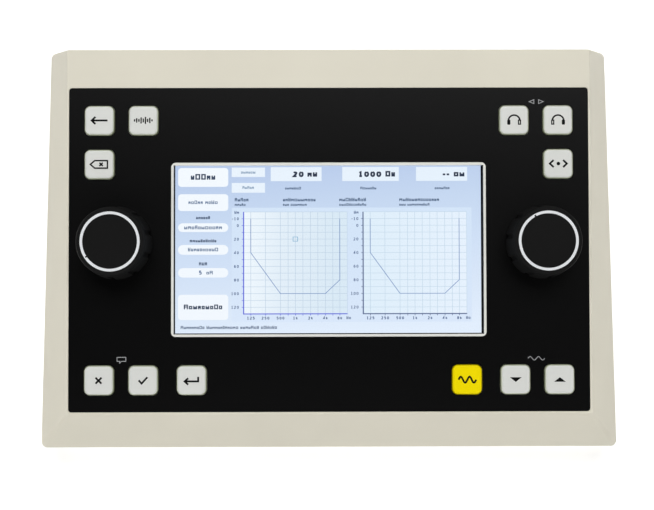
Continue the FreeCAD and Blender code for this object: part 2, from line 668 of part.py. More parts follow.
def pan_screw(r, reach, head_r, head):
    # drawn head down: the head's seat is at z = 0 and the shank goes up
    cap = rod(head_r, -head, 0)
    rim = [e for e in cap.Edges if e.CenterOfMass.z < -head + 0.01 and len(e.Vertexes) == 1]
    cap = cap.makeFillet(head * 0.45, rim)
    return cap.fuse(rod(r, 0, reach)).removeSplitter()


def case_screws():
    solids = []
    for x, y in CASE_SCREWS:
        reach = PARTING_Z - POST_DROP - WELL_HEAD_Z + CASE_SCREW_REACH
        screw = pan_screw(CASE_SCREW_R, reach, CASE_SCREW_HEAD_R, CASE_SCREW_HEAD)
        screw.translate(V(x, y, WELL_HEAD_Z))
        solids.append(screw)
    return Part.makeCompound(solids)


# ---- front sheet and display stack ----
def front_sheet():
    half_w = SHEET_WIDTH / 2
    half_d = SHEET_DEPTH / 2
    sheet = rounded_slab(-half_w, half_w, -half_d, half_d, SHEET_CORNERS, SHEET_BOTTOM, SHEET_TOP)
    cuts = [window_block(LIP_WIDTH + LIP_FIT, SHEET_BOTTOM - 1, SHEET_TOP + 1)]
    for u, v in KEYS.values():
        cuts.append(key_hole(u, v, SHEET_BOTTOM - 1, SHEET_TOP + 1))
    for u, turn in KNOBS.values():
        cuts.append(rod(BUSH_R + THREAD_FIT, SHEET_BOTTOM - 1, SHEET_TOP + 1, u, KNOB_V))
    return on_panel(sheet.cut(cuts))


def module_block(width, depth, z0, z1):
    return block(WINDOW_U, WINDOW_V, width, depth, z0, z1)


def display_gasket():
    ring = module_block(MODULE_WIDTH, MODULE_DEPTH, TOUCH_TOP, PANEL_UNDER)
    return on_panel(ring.cut(window_block(GASKET_MARGIN, TOUCH_TOP, PANEL_UNDER)))


def touch_panel():
    return on_panel(module_block(MODULE_WIDTH, MODULE_DEPTH, TOUCH_BOTTOM, TOUCH_TOP))


def lcd_panel():
    return on_panel(module_block(LCD_WIDTH, LCD_DEPTH, LCD_BOTTOM, LCD_FACE))


def lcd_frame():
    # its rim stands a little above the panel, so the touch glass rests on the frame over a thin air gap
    tray = module_block(MODULE_WIDTH, MODULE_DEPTH, FRAME_BOTTOM, TOUCH_BOTTOM)
    pocket_w = LCD_WIDTH + 2 * LCD_FIT
    pocket_d = LCD_DEPTH + 2 * LCD_FIT
    return on_panel(tray.cut(module_block(pocket_w, pocket_d, LCD_BOTTOM, TOUCH_BOTTOM)))


def display_bracket():
    # a sheet-metal clamp behind the module, with four tabs that reach the bosses beside it
    tab_reach = DISPLAY_BOSS_OFFSET + BOARD_BOSS_R
    plates = [module_block(MODULE_WIDTH - 2 * BRACKET_EDGE, MODULE_DEPTH, BRACKET_BOTTOM, FRAME_BOTTOM)]
    for a in (-1, 1):
        plates.append(block(WINDOW_U + a * TAB_U, WINDOW_V, TAB_WIDTH, MODULE_DEPTH + 2 * tab_reach,
                            BRACKET_BOTTOM, FRAME_BOTTOM))
    bracket = fused(plates)
    hollow_w = MODULE_WIDTH - 2 * BRACKET_BORDER
    hollow_d = MODULE_DEPTH - 2 * BRACKET_BORDER
    cuts = [rounded_block(WINDOW_U, WINDOW_V, hollow_w, hollow_d, BRACKET_CORNER_R,
                          BRACKET_BOTTOM, FRAME_BOTTOM)]
    for u, v in DISPLAY_BOSSES:
        cuts.append(rod(BOARD_SCREW_R + HOLE_CLEARANCE, BRACKET_BOTTOM, FRAME_BOTTOM, u, v))
    posts = []
    for u, v in display_board_holes():
        posts.append(rod(BOARD_BOSS_R, BRACKET_BOTTOM - DISPLAY_BOARD_LIFT, BRACKET_BOTTOM, u, v))
    return on_panel(fused([bracket.cut(cuts)] + posts))


def display_board_holes():
    u = DISPLAY_BOARD_WIDTH / 2 - BOARD_BOSS_R
    v = (MODULE_DEPTH - BRACKET_BORDER) / 2 - BOARD_BOSS_R
    return [(WINDOW_U + a * u, WINDOW_V + b * v) for a in (-1, 1) for b in (-1, 1)]


def display_board_bottom():
    return BRACKET_BOTTOM - DISPLAY_BOARD_LIFT - BOARD_THICK


def display_header_v():
    return display_board_holes()[3][1] + BOARD_BOSS_R - DISPLAY_HEADER_INSET


def display_board():
    bottom = display_board_bottom()
    depth = 2 * (display_board_holes()[3][1] - WINDOW_V) + 2 * BOARD_BOSS_R
    board = block(WINDOW_U, WINDOW_V, DISPLAY_BOARD_WIDTH, depth, bottom, bottom + BOARD_THICK)
    chip = block(WINDOW_U + DRIVER_CHIP_U, WINDOW_V + DRIVER_CHIP_V, DRIVER_CHIP_SIZE, DRIVER_CHIP_SIZE,
                 bottom - CHIP_HEIGHT, bottom)
    memory = block(WINDOW_U + MEMORY_U, WINDOW_V + MEMORY_V, MEMORY_WIDTH, MEMORY_DEPTH,
                   bottom - CHIP_HEIGHT, bottom)
    header = panel_header(0, display_header_v(), DISPLAY_CABLE_WIDTH, bottom)
    return on_panel(fused([board, chip, memory, header]))


def panel_header(u, v, cable_width, board_bottom):
    # a slim socket on a board's underside, which holds the end of a flat cable
    width = cable_width + 2 * HEADER_MARGIN
    return block(u, v, width, HEADER_DEPTH, board_bottom - HEADER_HEIGHT, board_bottom)


def screws_at(places, seat, reach):
    solids = []
    for u, v in places:
        screw = pan_screw(BOARD_SCREW_R, reach, BOARD_SCREW_HEAD_R, BOARD_SCREW_HEAD)
        screw.translate(V(u, v, seat))
        solids.append(on_panel(screw))
    return Part.makeCompound(solids)


def display_screws():
    return screws_at(DISPLAY_BOSSES, BRACKET_BOTTOM, BRACKET_THICK + BOARD_SCREW_REACH)


# ---- keys ----
def key_cap(u, v):
    flange = rounded_block(0, 0, KEY_FLANGE, KEY_FLANGE, KEY_CORNER_R, FLANGE_BOTTOM, FLANGE_TOP)
    skirt = rounded_block(0, 0, KEY_SIZE, KEY_SIZE, KEY_CORNER_R, FLANGE_BOTTOM, KEY_RISE)
    top = [e for e in skirt.Edges if abs(e.CenterOfMass.z - KEY_RISE) < 0.01]
    skirt = skirt.makeFillet(KEY_EDGE_ROUND, top)
    hollow = KEY_SIZE - 2 * KEY_WALL
    cap = flange.fuse(skirt).cut(rounded_block(0, 0, hollow, hollow, KEY_CORNER_R - KEY_WALL / 2,
                                               FLANGE_BOTTOM, KEY_RISE - KEY_TOP_THICK))
    stem = rod(KEY_STEM_R, STEM_BOTTOM, KEY_RISE - KEY_TOP_THICK)
    cap = cap.fuse(stem).removeSplitter()
    plunger = rod(PLUNGER_R, PLUNGER_BOTTOM, STEM_BOTTOM)
    pair = Part.makeCompound([cap, plunger])
    pair.translate(V(u, v, 0))
    return on_panel(pair)


def key_switches():
    bases = []
    for u, v in KEYS.values():
        base = block(u, v, SWITCH_SIZE, SWITCH_SIZE, BOARD_TOP, SWITCH_TOP)
        bore = rod(PLUNGER_R + RUNNING_FIT, SWITCH_TOP - PLUNGER_DEPTH - SWITCH_TRAVEL_ROOM, SWITCH_TOP, u, v)
        bases.append(on_panel(base.cut(bore)))
    return Part.makeCompound(bases)


def key_board(side):
    # an L-shaped board: an upright beside the display and a foot below it
    points = [(KEY_BOARD_EDGE, -KEY_BOARD_HALF_DEPTH), (KEY_BOARD_FOOT, -KEY_BOARD_HALF_DEPTH),
              (KEY_BOARD_FOOT, KEY_BOARD_FOOT_TOP), (KEY_BOARD_INNER, KEY_BOARD_FOOT_TOP),
              (KEY_BOARD_INNER, KEY_BOARD_HALF_DEPTH), (KEY_BOARD_EDGE, KEY_BOARD_HALF_DEPTH)]
    loop = [V(side * u, v, BOARD_BOTTOM) for u, v in points + points[:1]]
    board = Part.Face(Part.makePolygon(loop)).extrude(V(0, 0, BOARD_THICK))
    hole_r = BOARD_SCREW_R + HOLE_CLEARANCE
    holes = [rod(hole_r, BOARD_BOTTOM, BOARD_TOP, side * u, v) for u, v in BOARD_BOSSES]
    header = panel_header(side * KEY_CABLE_U, KEY_HEADER_V, KEY_CABLE_WIDTH, BOARD_BOTTOM)
    return on_panel(board.cut(holes).fuse(header).removeSplitter())


def key_board_screws():
    places = [(side * u, v) for side in (-1, 1) for u, v in BOARD_BOSSES]
    return screws_at(places, BOARD_BOTTOM, BOARD_THICK + BOARD_SCREW_REACH)


# ---- encoders and knobs ----
def encoder_body(u):
    base = block(0, 0, ENCODER_WIDTH, ENCODER_DEPTH, BOARD_TOP, PANEL_UNDER)
    body = base.fuse(rod(BUSH_R, PANEL_UNDER, BUSH_TOP)).removeSplitter()
    body = body.cut(rod(SHAFT_R + RUNNING_FIT, PANEL_UNDER - SHAFT_FOOT - RUNNING_FIT, BUSH_TOP))
    body.translate(V(u, KNOB_V, 0))
    return on_panel(body)


def shaft_solid(extra, z0, z1):
    # the upper end has a flat, so the knob can't slip round it
    round_part = rod(SHAFT_R + extra, z0, z1)
    flat_x = SHAFT_R - SHAFT_FLAT + extra
    flat_z = BUSH_TOP + 1.0
    return round_part.cut(box(flat_x, KNOB_BASE_R, -KNOB_BASE_R, KNOB_BASE_R, flat_z, KNOB_TOP))


def encoder_shaft(u, turn):
    shaft = shaft_solid(0, PANEL_UNDER - SHAFT_FOOT, SHAFT_TOP)
    shaft.rotate(V(0, 0, 0), V(0, 0, 1), turn)
    shaft.translate(V(u, KNOB_V, 0))
    return on_panel(shaft)


def encoder_washers():
    solids = []
    top = SHEET_TOP + WASHER_THICK
    for u, turn in KNOBS.values():
        hole = rod(BUSH_R + THREAD_FIT, SHEET_TOP, top, u, KNOB_V)
        solids.append(on_panel(rod(WASHER_R, SHEET_TOP, top, u, KNOB_V).cut(hole)))
    return Part.makeCompound(solids)


def encoder_nuts():
    solids = []
    seat = SHEET_TOP + WASHER_THICK
    for u, turn in KNOBS.values():
        nut = hexagon(NUT_FLATS, BUSH_R + THREAD_FIT, seat, seat + NUT_THICK)
        nut.translate(V(u, KNOB_V, 0))
        solids.append(on_panel(nut))
    return Part.makeCompound(solids)


def revolved(points):
    loop = [V(r, 0, z) for r, z in points + points[:1]]
    return Part.Face(Part.makePolygon(loop)).revolve(V(0, 0, 0), V(0, 0, 1), 360)


def grip_groove(angle):
    # one thumb groove: a round-ended channel that follows the taper of the grip
    low = V(KNOB_BASE_R + GROOVE_R - GROOVE_DEPTH, 0, KNOB_LIFT - GROOVE_R)
    high = V(KNOB_SHOULDER_R + GROOVE_R - GROOVE_DEPTH, 0, KNOB_TOP - KNOB_RIM_HEIGHT - GROOVE_R)
    run = high.sub(low)
    channel = Part.makeCylinder(GROOVE_R, run.Length, low, run)
    tool = channel.fuse(Part.makeSphere(GROOVE_R, high)).removeSplitter()
    tool.rotate(V(0, 0, 0), V(0, 0, 1), angle)
    return tool


def placed_on_knob(shape, u, turn):
    shape.rotate(V(0, 0, 0), V(0, 0, 1), turn)
    shape.translate(V(u, KNOB_V, 0))
    return on_panel(shape)


def knob_grip(u, turn):
    # a tapered cup: lobed skirt, plain rim, thin web with a hub for the shaft
    shoulder = KNOB_TOP - KNOB_RIM_HEIGHT
    seat = KNOB_TOP - RING_DEPTH
    roof = seat - KNOB_WEB
    outer = revolved([(0, KNOB_LIFT), (KNOB_BASE_R, KNOB_LIFT), (KNOB_SHOULDER_R, shoulder),
                      (KNOB_RIM_R, KNOB_TOP), (0, KNOB_TOP)])
    rim = [e for e in outer.Edges if abs(e.CenterOfMass.z - KNOB_TOP) < 0.01 and len(e.Vertexes) == 1]
    outer = outer.makeFillet(KNOB_RIM_ROUND, rim)
    inner_low = KNOB_BASE_R - KNOB_WALL
    inner_high = KNOB_SHOULDER_R - KNOB_WALL
    cup = revolved([(KNOB_HUB_R, KNOB_LIFT - 1), (inner_low, KNOB_LIFT - 1), (inner_high, roof),
                    (KNOB_HUB_R, roof)])
    hub_clear = rod(KNOB_HUB_R, KNOB_LIFT - 1, BUSH_TOP + 1.2)
    bore = shaft_solid(SEAT_FIT, KNOB_LIFT, SHAFT_TOP + SEAT_FIT)
    seat_pocket = rod(RING_OUTER_R + SEAT_FIT, seat, KNOB_TOP + 1)
    grooves = [grip_groove(360 / KNOB_LOBES * (k + 0.5)) for k in range(KNOB_LOBES)]
    grip = outer.cut([cup, hub_clear, bore, seat_pocket] + grooves)
    return placed_on_knob(grip, u, turn)


def knob_ring(u, turn):
    seat = KNOB_TOP - RING_DEPTH
    ring = rod(RING_OUTER_R, seat, KNOB_TOP + RING_PROUD).cut(rod(RING_INNER_R, seat, KNOB_TOP + RING_PROUD))
    notch = block(RING_INNER_R, 0, 2 * RING_NOTCH, RING_NOTCH, seat, KNOB_TOP + RING_PROUD)
    return placed_on_knob(ring.cut(notch), u, turn)


def knob_cap(u, turn):
    seat = KNOB_TOP - RING_DEPTH
    top = KNOB_TOP - CAP_SINK
    disc = rod(RING_INNER_R - SEAT_FIT, seat, top)
    key = block(RING_INNER_R, 0, 2 * (RING_NOTCH - SEAT_FIT), RING_NOTCH - 2 * SEAT_FIT, seat, top)
    return placed_on_knob(disc.fuse(key).removeSplitter(), u, turn)


# ---- rear panel and what it carries ----
def rear_panel():
    reach = BAY_HALF_WIDTH + PANEL_SLOT_DEPTH
    plate = box(-reach, reach, REAR_PANEL_Y, REAR_PANEL_OUT,
                PARTING_Z - PANEL_SLOT_DEPTH, BAY_TOP_Z + PANEL_SLOT_DEPTH)
    jack_r = JACK_BUSH_R + CUTOUT_GAP
    cuts = [rod_y(jack_r, REAR_PANEL_Y, REAR_PANEL_OUT, x, JACK_Z) for x in JACKS.values()]
    usb_w = USB_WIDTH + 2 * CUTOUT_GAP
    cuts.append(box(USB_X - usb_w / 2, USB_X + usb_w / 2, REAR_PANEL_Y, REAR_PANEL_OUT,
                    MAIN_BOARD_TOP_Z - CUTOUT_GAP, MAIN_BOARD_TOP_Z + USB_HEIGHT + CUTOUT_GAP))
    cuts.append(rod_y(DC_BARREL_R + CUTOUT_GAP, REAR_PANEL_Y, REAR_PANEL_OUT, DC_X, dc_axis_z()))
    half_w = SWITCH_BODY_WIDTH / 2 + CUTOUT_GAP
    half_h = SWITCH_BODY_HEIGHT / 2 + CUTOUT_GAP
    cuts.append(box(POWER_X - half_w, POWER_X + half_w, REAR_PANEL_Y, REAR_PANEL_OUT,
                    POWER_Z - half_h, POWER_Z + half_h))
    return plate.cut(cuts)


def phone_jack(x):
    housing = box(x - JACK_WIDTH / 2, x + JACK_WIDTH / 2, REAR_PANEL_Y - JACK_LENGTH, REAR_PANEL_Y,
                  MAIN_BOARD_TOP_Z, MAIN_BOARD_TOP_Z + JACK_HEIGHT)
    mouth = REAR_PANEL_OUT + JACK_BUSH_REACH
    bush = rod_y(JACK_BUSH_R, REAR_PANEL_Y, mouth, x, JACK_Z)
    bore = rod_y(JACK_BORE_R, REAR_PANEL_Y - JACK_LENGTH + JACK_BORE_END, mouth, x, JACK_Z)
    return housing.fuse(bush).removeSplitter().cut(bore)


def jack_nuts():
    solids = []
    for x in JACKS.values():
        nut = hexagon(JACK_NUT_FLATS, JACK_BUSH_R + THREAD_FIT, 0, JACK_NUT_THICK)
        solids.append(along_y(nut, x, REAR_PANEL_OUT, JACK_Z))
    return Part.makeCompound(solids)


def usb_socket():
    z_mid = MAIN_BOARD_TOP_Z + USB_HEIGHT / 2
    back = REAR_PANEL_OUT - USB_LENGTH
    shell = box(USB_X - USB_WIDTH / 2, USB_X + USB_WIDTH / 2, back, REAR_PANEL_OUT,
                MAIN_BOARD_TOP_Z, MAIN_BOARD_TOP_Z + USB_HEIGHT)
    mouth = box(USB_X - USB_MOUTH_WIDTH / 2, USB_X + USB_MOUTH_WIDTH / 2, back + 2, REAR_PANEL_OUT,
                z_mid - USB_MOUTH_HEIGHT / 2, z_mid + USB_MOUTH_HEIGHT / 2)
    tongue_half = USB_TONGUE_WIDTH / 2
    tongue = box(USB_X - tongue_half, USB_X + tongue_half, back + 2, REAR_PANEL_OUT - USB_TONGUE_SINK,
                 z_mid - USB_TONGUE_HEIGHT / 2, z_mid + USB_TONGUE_HEIGHT / 2)
    return shell.cut(mouth).fuse(tongue).removeSplitter()


def dc_axis_z():
    return MAIN_BOARD_TOP_Z + DC_HEIGHT / 2 + 1.0


def dc_socket():
    z = dc_axis_z()
    housing = box(DC_X - DC_WIDTH / 2, DC_X + DC_WIDTH / 2, REAR_PANEL_Y - DC_LENGTH, REAR_PANEL_Y,
                  MAIN_BOARD_TOP_Z, MAIN_BOARD_TOP_Z + DC_HEIGHT + 1.0)
    body = housing.fuse(rod_y(DC_BARREL_R, REAR_PANEL_Y, REAR_PANEL_OUT, DC_X, z)).removeSplitter()
    floor = REAR_PANEL_OUT - DC_BORE_DEPTH
    body = body.cut(rod_y(DC_BORE_R, floor, REAR_PANEL_OUT, DC_X, z))
    pin = rod_y(DC_PIN_R, floor - 1, REAR_PANEL_OUT - DC_PIN_SINK, DC_X, z)
    return body.fuse(pin).removeSplitter()


def rocker_pivot_y():
    return REAR_PANEL_OUT - ROCKER_PIVOT_SINK


def power_switch():
    half_w = SWITCH_BODY_WIDTH / 2
    half_h = SWITCH_BODY_HEIGHT / 2
    body = box(POWER_X - half_w, POWER_X + half_w, REAR_PANEL_OUT - SWITCH_BODY_LENGTH, REAR_PANEL_OUT,
               POWER_Z - half_h, POWER_Z + half_h)
    front = REAR_PANEL_OUT + BEZEL_THICK
    bezel = box(POWER_X - BEZEL_WIDTH / 2, POWER_X + BEZEL_WIDTH / 2, REAR_PANEL_OUT, front,
                POWER_Z - BEZEL_HEIGHT / 2, POWER_Z + BEZEL_HEIGHT / 2)
    pocket_w = ROCKER_WIDTH / 2 + 0.9
    pocket_h = ROCKER_HEIGHT / 2 + ROCKER_GAP
    pocket = box(POWER_X - pocket_w, POWER_X + pocket_w, rocker_pivot_y() - ROCKER_WIDTH / 2, front,
                 POWER_Z - pocket_h, POWER_Z + pocket_h)
    pins = rod(ROCKER_PIN_R + RUNNING_FIT, POWER_Z - half_h, POWER_Z + half_h, POWER_X, rocker_pivot_y())
    return body.fuse(bezel).removeSplitter().cut([pocket, pins])


def power_rocker():
    # seen from above it is a shallow V; it rests with its off side in
    half = ROCKER_WIDTH / 2
    front = BEZEL_THICK + ROCKER_PIVOT_SINK + ROCKER_STAND
    back = ROCKER_PIN_R + ROCKER_STAND - ROCKER_DIP
    heel = ROCKER_HEEL
    outline = [(-half, front), (0, front - ROCKER_DIP), (half, front), (half, back), (heel, -heel),
               (-heel, -heel), (-half, back)]
    loop = [V(x, y, -ROCKER_HEIGHT / 2) for x, y in outline + outline[:1]]
    rocker = Part.Face(Part.makePolygon(loop)).extrude(V(0, 0, ROCKER_HEIGHT))
    pin_half = SWITCH_BODY_HEIGHT / 2
    rocker = rocker.fuse(rod(ROCKER_PIN_R, -pin_half, pin_half)).removeSplitter()
    rocker.rotate(V(0, 0, 0), V(0, 0, 1), -ROCKER_TILT)
    rocker.translate(V(POWER_X, rocker_pivot_y(), POWER_Z))
    return rocker


# ---- main board ----
def main_board():
    board = box(-MAIN_BOARD_HALF_WIDTH, MAIN_BOARD_HALF_WIDTH, MAIN_BOARD_FRONT_Y, MAIN_BOARD_REAR_Y,
                MAIN_BOARD_BOTTOM_Z, MAIN_BOARD_TOP_Z)
    hole_r = BOARD_SCREW_R + HOLE_CLEARANCE
    return board.cut([rod(hole_r, MAIN_BOARD_BOTTOM_Z, MAIN_BOARD_TOP_Z, x, y) for x, y in STANDOFFS])


def on_main_board(x, from_front, width, depth, height):
    y = MAIN_BOARD_FRONT_Y + from_front
    return block(x, y, width, depth, MAIN_BOARD_TOP_Z, MAIN_BOARD_TOP_Z + height)


def main_board_parts():
    relay_x = RELAY_INSET - MAIN_BOARD_HALF_WIDTH
    solids = [on_main_board(SHIELD_X, SHIELD_Y, SHIELD_WIDTH, SHIELD_DEPTH, SHIELD_HEIGHT),
              on_main_board(PROCESSOR_X, PROCESSOR_Y, PROCESSOR_SIZE, PROCESSOR_SIZE, CHIP_HEIGHT),
              on_main_board(relay_x, RELAY_Y, RELAY_SIZE, RELAY_SIZE, RELAY_HEIGHT)]
    for k in range(2):
        y = AMPLIFIER_Y + k * AMPLIFIER_PITCH
        solids.append(on_main_board(AMPLIFIER_X, y, AMPLIFIER_WIDTH, AMPLIFIER_DEPTH, CHIP_HEIGHT))
    for k in range(CAN_COUNT):
        x = CAN_INSET - MAIN_BOARD_HALF_WIDTH + k * CAN_PITCH
        y = MAIN_BOARD_FRONT_Y + CAN_Y
        solids.append(rod(CAN_R, MAIN_BOARD_TOP_Z, MAIN_BOARD_TOP_Z + CAN_HEIGHT, x, y))
    for x, cable_width in ((0, DISPLAY_CABLE_WIDTH), (-KEY_CABLE_U, KEY_CABLE_WIDTH),
                           (KEY_CABLE_U, KEY_CABLE_WIDTH)):
        width = cable_width + 2 * HEADER_MARGIN
        solids.append(on_main_board(x, HEADER_Y, width, HEADER_DEPTH, HEADER_HEIGHT))
    return Part.makeCompound(solids)


# ---- flat cables ----
def side_of(start, end):
    # the unit vector square to a run that lies in a y-z plane
    return V(1, 0, 0).cross(end.sub(start)).normalize()


def bent_rail(corners, offset):
    # one long edge of a strip that follows the corners: straight runs joined by tangent arcs
    here = corners[0] + side_of(corners[0], corners[1]) * offset
    edges = []
    for before, corner, after in zip(corners, corners[1:], corners[2:]):
        first = side_of(before, corner)
        second = side_of(corner, after)
        middle = (first + second).normalize()
        hand = 1 if after.sub(corner).dot(first) > 0 else -1
        r = CABLE_BEND_R - hand * offset
        centre = corner + middle * (hand * CABLE_BEND_R / first.dot(middle))
        start, top, end = [centre - way * (hand * r) for way in (first, middle, second)]
        edges.append(Part.LineSegment(here, start).toShape())
        edges.append(Part.Arc(start, top, end).toShape())
        here = end
    last = corners[-1] + side_of(corners[-2], corners[-1]) * offset
    edges.append(Part.LineSegment(here, last).toShape())
    return edges, last


def flat_cable(x, width, v, board_bottom):
    # leaves the panel board's header along the slope, turns down and enters the main board's header
    left = x - width / 2
    lead = CABLE_STRAIGHT + CABLE_BEND_R
    start = PANEL.multVec(V(left, v - HEADER_DEPTH / 2, board_bottom - HEADER_HEIGHT / 2))
    turn = PANEL.multVec(V(left, v - HEADER_DEPTH / 2 - lead, board_bottom - HEADER_HEIGHT / 2))
    y_end = MAIN_BOARD_FRONT_Y + HEADER_Y + HEADER_DEPTH / 2
    z_end = MAIN_BOARD_TOP_Z + HEADER_HEIGHT / 2
    corners = [start, turn, V(left, y_end + lead, z_end), V(left, y_end, z_end)]
    lower, lower_end = bent_rail(corners, -CABLE_THICK / 2)
    upper, upper_end = bent_rail(corners, CABLE_THICK / 2)
    out = side_of(start, turn) * (CABLE_THICK / 2)
    loop = lower + [Part.LineSegment(lower_end, upper_end).toShape()] + upper[::-1]
    loop.append(Part.LineSegment(start + out, start - out).toShape())
    return Part.Face(Part.Wire(loop)).extrude(V(width, 0, 0))


def main_board_screws():
    solids = []
    reach = BOARD_THICK + BOARD_SCREW_REACH
    for x, y in STANDOFFS:
        screw = pan_screw(BOARD_SCREW_R, reach, BOARD_SCREW_HEAD_R, BOARD_SCREW_HEAD)
        screw.rotate(V(0, 0, 0), V(1, 0, 0), 180)
        screw.translate(V(x, y, MAIN_BOARD_TOP_Z))
        solids.append(screw)
    return Part.makeCompound(solids)


def all_nodes():
    nodes = {
        "upper_shell": upper_shell(),
        "lower_shell": lower_shell(),
        "feet": feet(),
        "case_screws": case_screws(),
        "front_sheet": front_sheet(),
        "display_gasket": display_gasket(),
        "touch_panel": touch_panel(),
        "lcd_panel": lcd_panel(),
        "lcd_frame": lcd_frame(),
        "display_bracket": display_bracket(),
        "display_board": display_board(),
        "display_screws": display_screws(),
        "key_switches": key_switches(),
        "key_board_left": key_board(-1),
        "key_board_right": key_board(1),
        "key_board_screws": key_board_screws(),
        "encoder_washers": encoder_washers(),
        "encoder_nuts": encoder_nuts(),
        "rear_panel": rear_panel(),
        "jack_nuts": jack_nuts(),
        "usb_socket": usb_socket(),
        "dc_socket": dc_socket(),
        "power_switch": power_switch(),
        "power_rocker": power_rocker(),
        "main_board": main_board(),
        "main_board_parts": main_board_parts(),
        "main_board_screws": main_board_screws(),
        "display_cable": flat_cable(0, DISPLAY_CABLE_WIDTH, display_header_v(), display_board_bottom()),
    }
    for name, (u, v) in KEYS.items():
        nodes[name] = key_cap(u, v)
    for side, (u, turn) in KNOBS.items():
        nodes["encoder_body_" + side] = encoder_body(u)
        nodes["encoder_shaft_" + side] = encoder_shaft(u, turn)
        nodes["knob_grip_" + side] = knob_grip(u, turn)
        nodes["knob_ring_" + side] = knob_ring(u, turn)
        nodes["knob_cap_" + side] = knob_cap(u, turn)
        cable_u = math.copysign(KEY_CABLE_U, u)
        nodes["key_cable_" + side] = flat_cable(cable_u, KEY_CABLE_WIDTH, KEY_HEADER_V, BOARD_BOTTOM)
    for name, x in JACKS.items():
        nodes[name] = phone_jack(x)
    return nodes


os.makedirs("parts", exist_ok=True)
for name, shape in all_nodes().items():
    shape.exportStep("parts/" + name + ".step")
    print(name, len(shape.Solids), round(shape.Volume, 1), shape.isValid())
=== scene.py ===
import json
import math
import random

import bmesh
import bpy
from mathutils import Euler, Matrix, Vector


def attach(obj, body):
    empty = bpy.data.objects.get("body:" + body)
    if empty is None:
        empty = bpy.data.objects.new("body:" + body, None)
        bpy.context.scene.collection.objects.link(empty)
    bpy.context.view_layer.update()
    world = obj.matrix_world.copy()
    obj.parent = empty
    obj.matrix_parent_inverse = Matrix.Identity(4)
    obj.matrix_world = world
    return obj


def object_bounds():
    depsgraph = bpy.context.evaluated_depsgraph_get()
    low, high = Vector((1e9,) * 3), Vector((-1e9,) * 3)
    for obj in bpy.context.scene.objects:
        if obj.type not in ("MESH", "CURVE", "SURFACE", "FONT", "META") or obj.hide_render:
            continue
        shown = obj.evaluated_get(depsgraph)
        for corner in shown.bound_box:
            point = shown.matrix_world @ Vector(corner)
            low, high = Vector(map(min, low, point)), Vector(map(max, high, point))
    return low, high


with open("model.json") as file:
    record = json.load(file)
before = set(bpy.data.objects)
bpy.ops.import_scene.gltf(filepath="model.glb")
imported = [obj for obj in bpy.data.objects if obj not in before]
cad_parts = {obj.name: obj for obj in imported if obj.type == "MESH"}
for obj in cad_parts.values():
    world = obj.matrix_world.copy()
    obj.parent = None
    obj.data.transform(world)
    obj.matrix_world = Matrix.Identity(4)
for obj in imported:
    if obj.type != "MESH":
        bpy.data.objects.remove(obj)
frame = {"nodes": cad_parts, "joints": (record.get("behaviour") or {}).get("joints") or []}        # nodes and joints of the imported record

# The looks of the desktop audiometer: camera and lights, a finish for every solid, the picture on the
# display, and the printed marks. Places are in the panel's own frame wherever a piece lies on the panel:
# x to the right, y up the slope, z out of the panel, from the middle of the front sheet's face.

MM = 0.001
CAD_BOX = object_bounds()

# ---- camera, in the panel's frame, millimetres and radians ----
CAMERA_PLACE = (-4.50, -21.37, 650.15)
CAMERA_TURN = (0.0284, -0.0052, -0.0023)
LENS = 70.96
SENSOR = 36.0

# ---- soft boxes: place from the middle of the panel, width and depth (metres), power (watts) ----
SOFTBOXES = {
    "light_rear": ((0.0, 0.85, 1.35), (1.6, 0.6), 14.8),
    "light_overhead": ((0.05, 0.45, 1.45), (1.2, 0.3), 3.05),
    "light_front": ((0.0, -1.3, 0.9), (1.6, 0.7), 2.6),
    "light_above_front": ((0.0, -1.0, 1.3), (1.6, 0.6), 7.09),
    "light_left": ((-0.75, -0.45, 0.45), (0.6, 0.4), 1.15),
    "light_right": ((0.75, -0.45, 0.45), (0.6, 0.4), 0.5),
    "light_above_right": ((0.95, 0.1, 1.25), (0.6, 1.2), 0.63),
}

# ---- sky, by the height of the view's direction (0 at the horizon, 1 at the zenith) ----
SKY_LIGHT = 0.40
SKY_START = 0.06
SKY_END = 0.34

# ---- floor: metres, how much light it gives near the unit and far from it, and its faint clouds ----
FLOOR_SIZE = 24.0
FLOOR_DROP = 0.0002
NEAR_FLOOR = 0.5
NEAR_FLOOR_GLOW = 0.46
FAR_FLOOR = 2.2
FAR_FLOOR_GLOW = 1.0
FLOOR_CLOUDS = 3
FLOOR_DARKER = (0.88, 0.88, 0.88, 1)
FLOOR_LIGHTER = (0.91, 0.91, 0.91, 1)

# ---- window: two opposite corners of the box round its lip, how far its walls stand inside the
# display module's edges, and how softly the lip's tint and the walls' painted shade each begin; millimetres
# ----
LIP_BOX = ((-82.0, -47.0, -2.5), (82.0, 47.0, 1.0))
LIP_EDGE = 2.0
WINDOW_SIDE_INSET = 2.2
WINDOW_END_INSET = 3.7
WALL_SHADE_SKIN = 0.06
WALL_SHADE_EDGE = 0.03

# ---- display: borders of the lit picture inside the module, and its layers; millimetres ----
PICTURE_LEFT = 2.30
PICTURE_RIGHT = 2.70
PICTURE_TOP = 3.17
PICTURE_BOTTOM = 4.00
LAYER = 0.03
LAYER_THICK = LAYER * 0.4

# ---- display: its light, and the fine waves of its dots (scale of the wave texture, share that they
# take off the light) ----
PICTURE_GLOW = 1.15
DOT_SCALE = 820.0
DOT_CONTRAST = 0.03

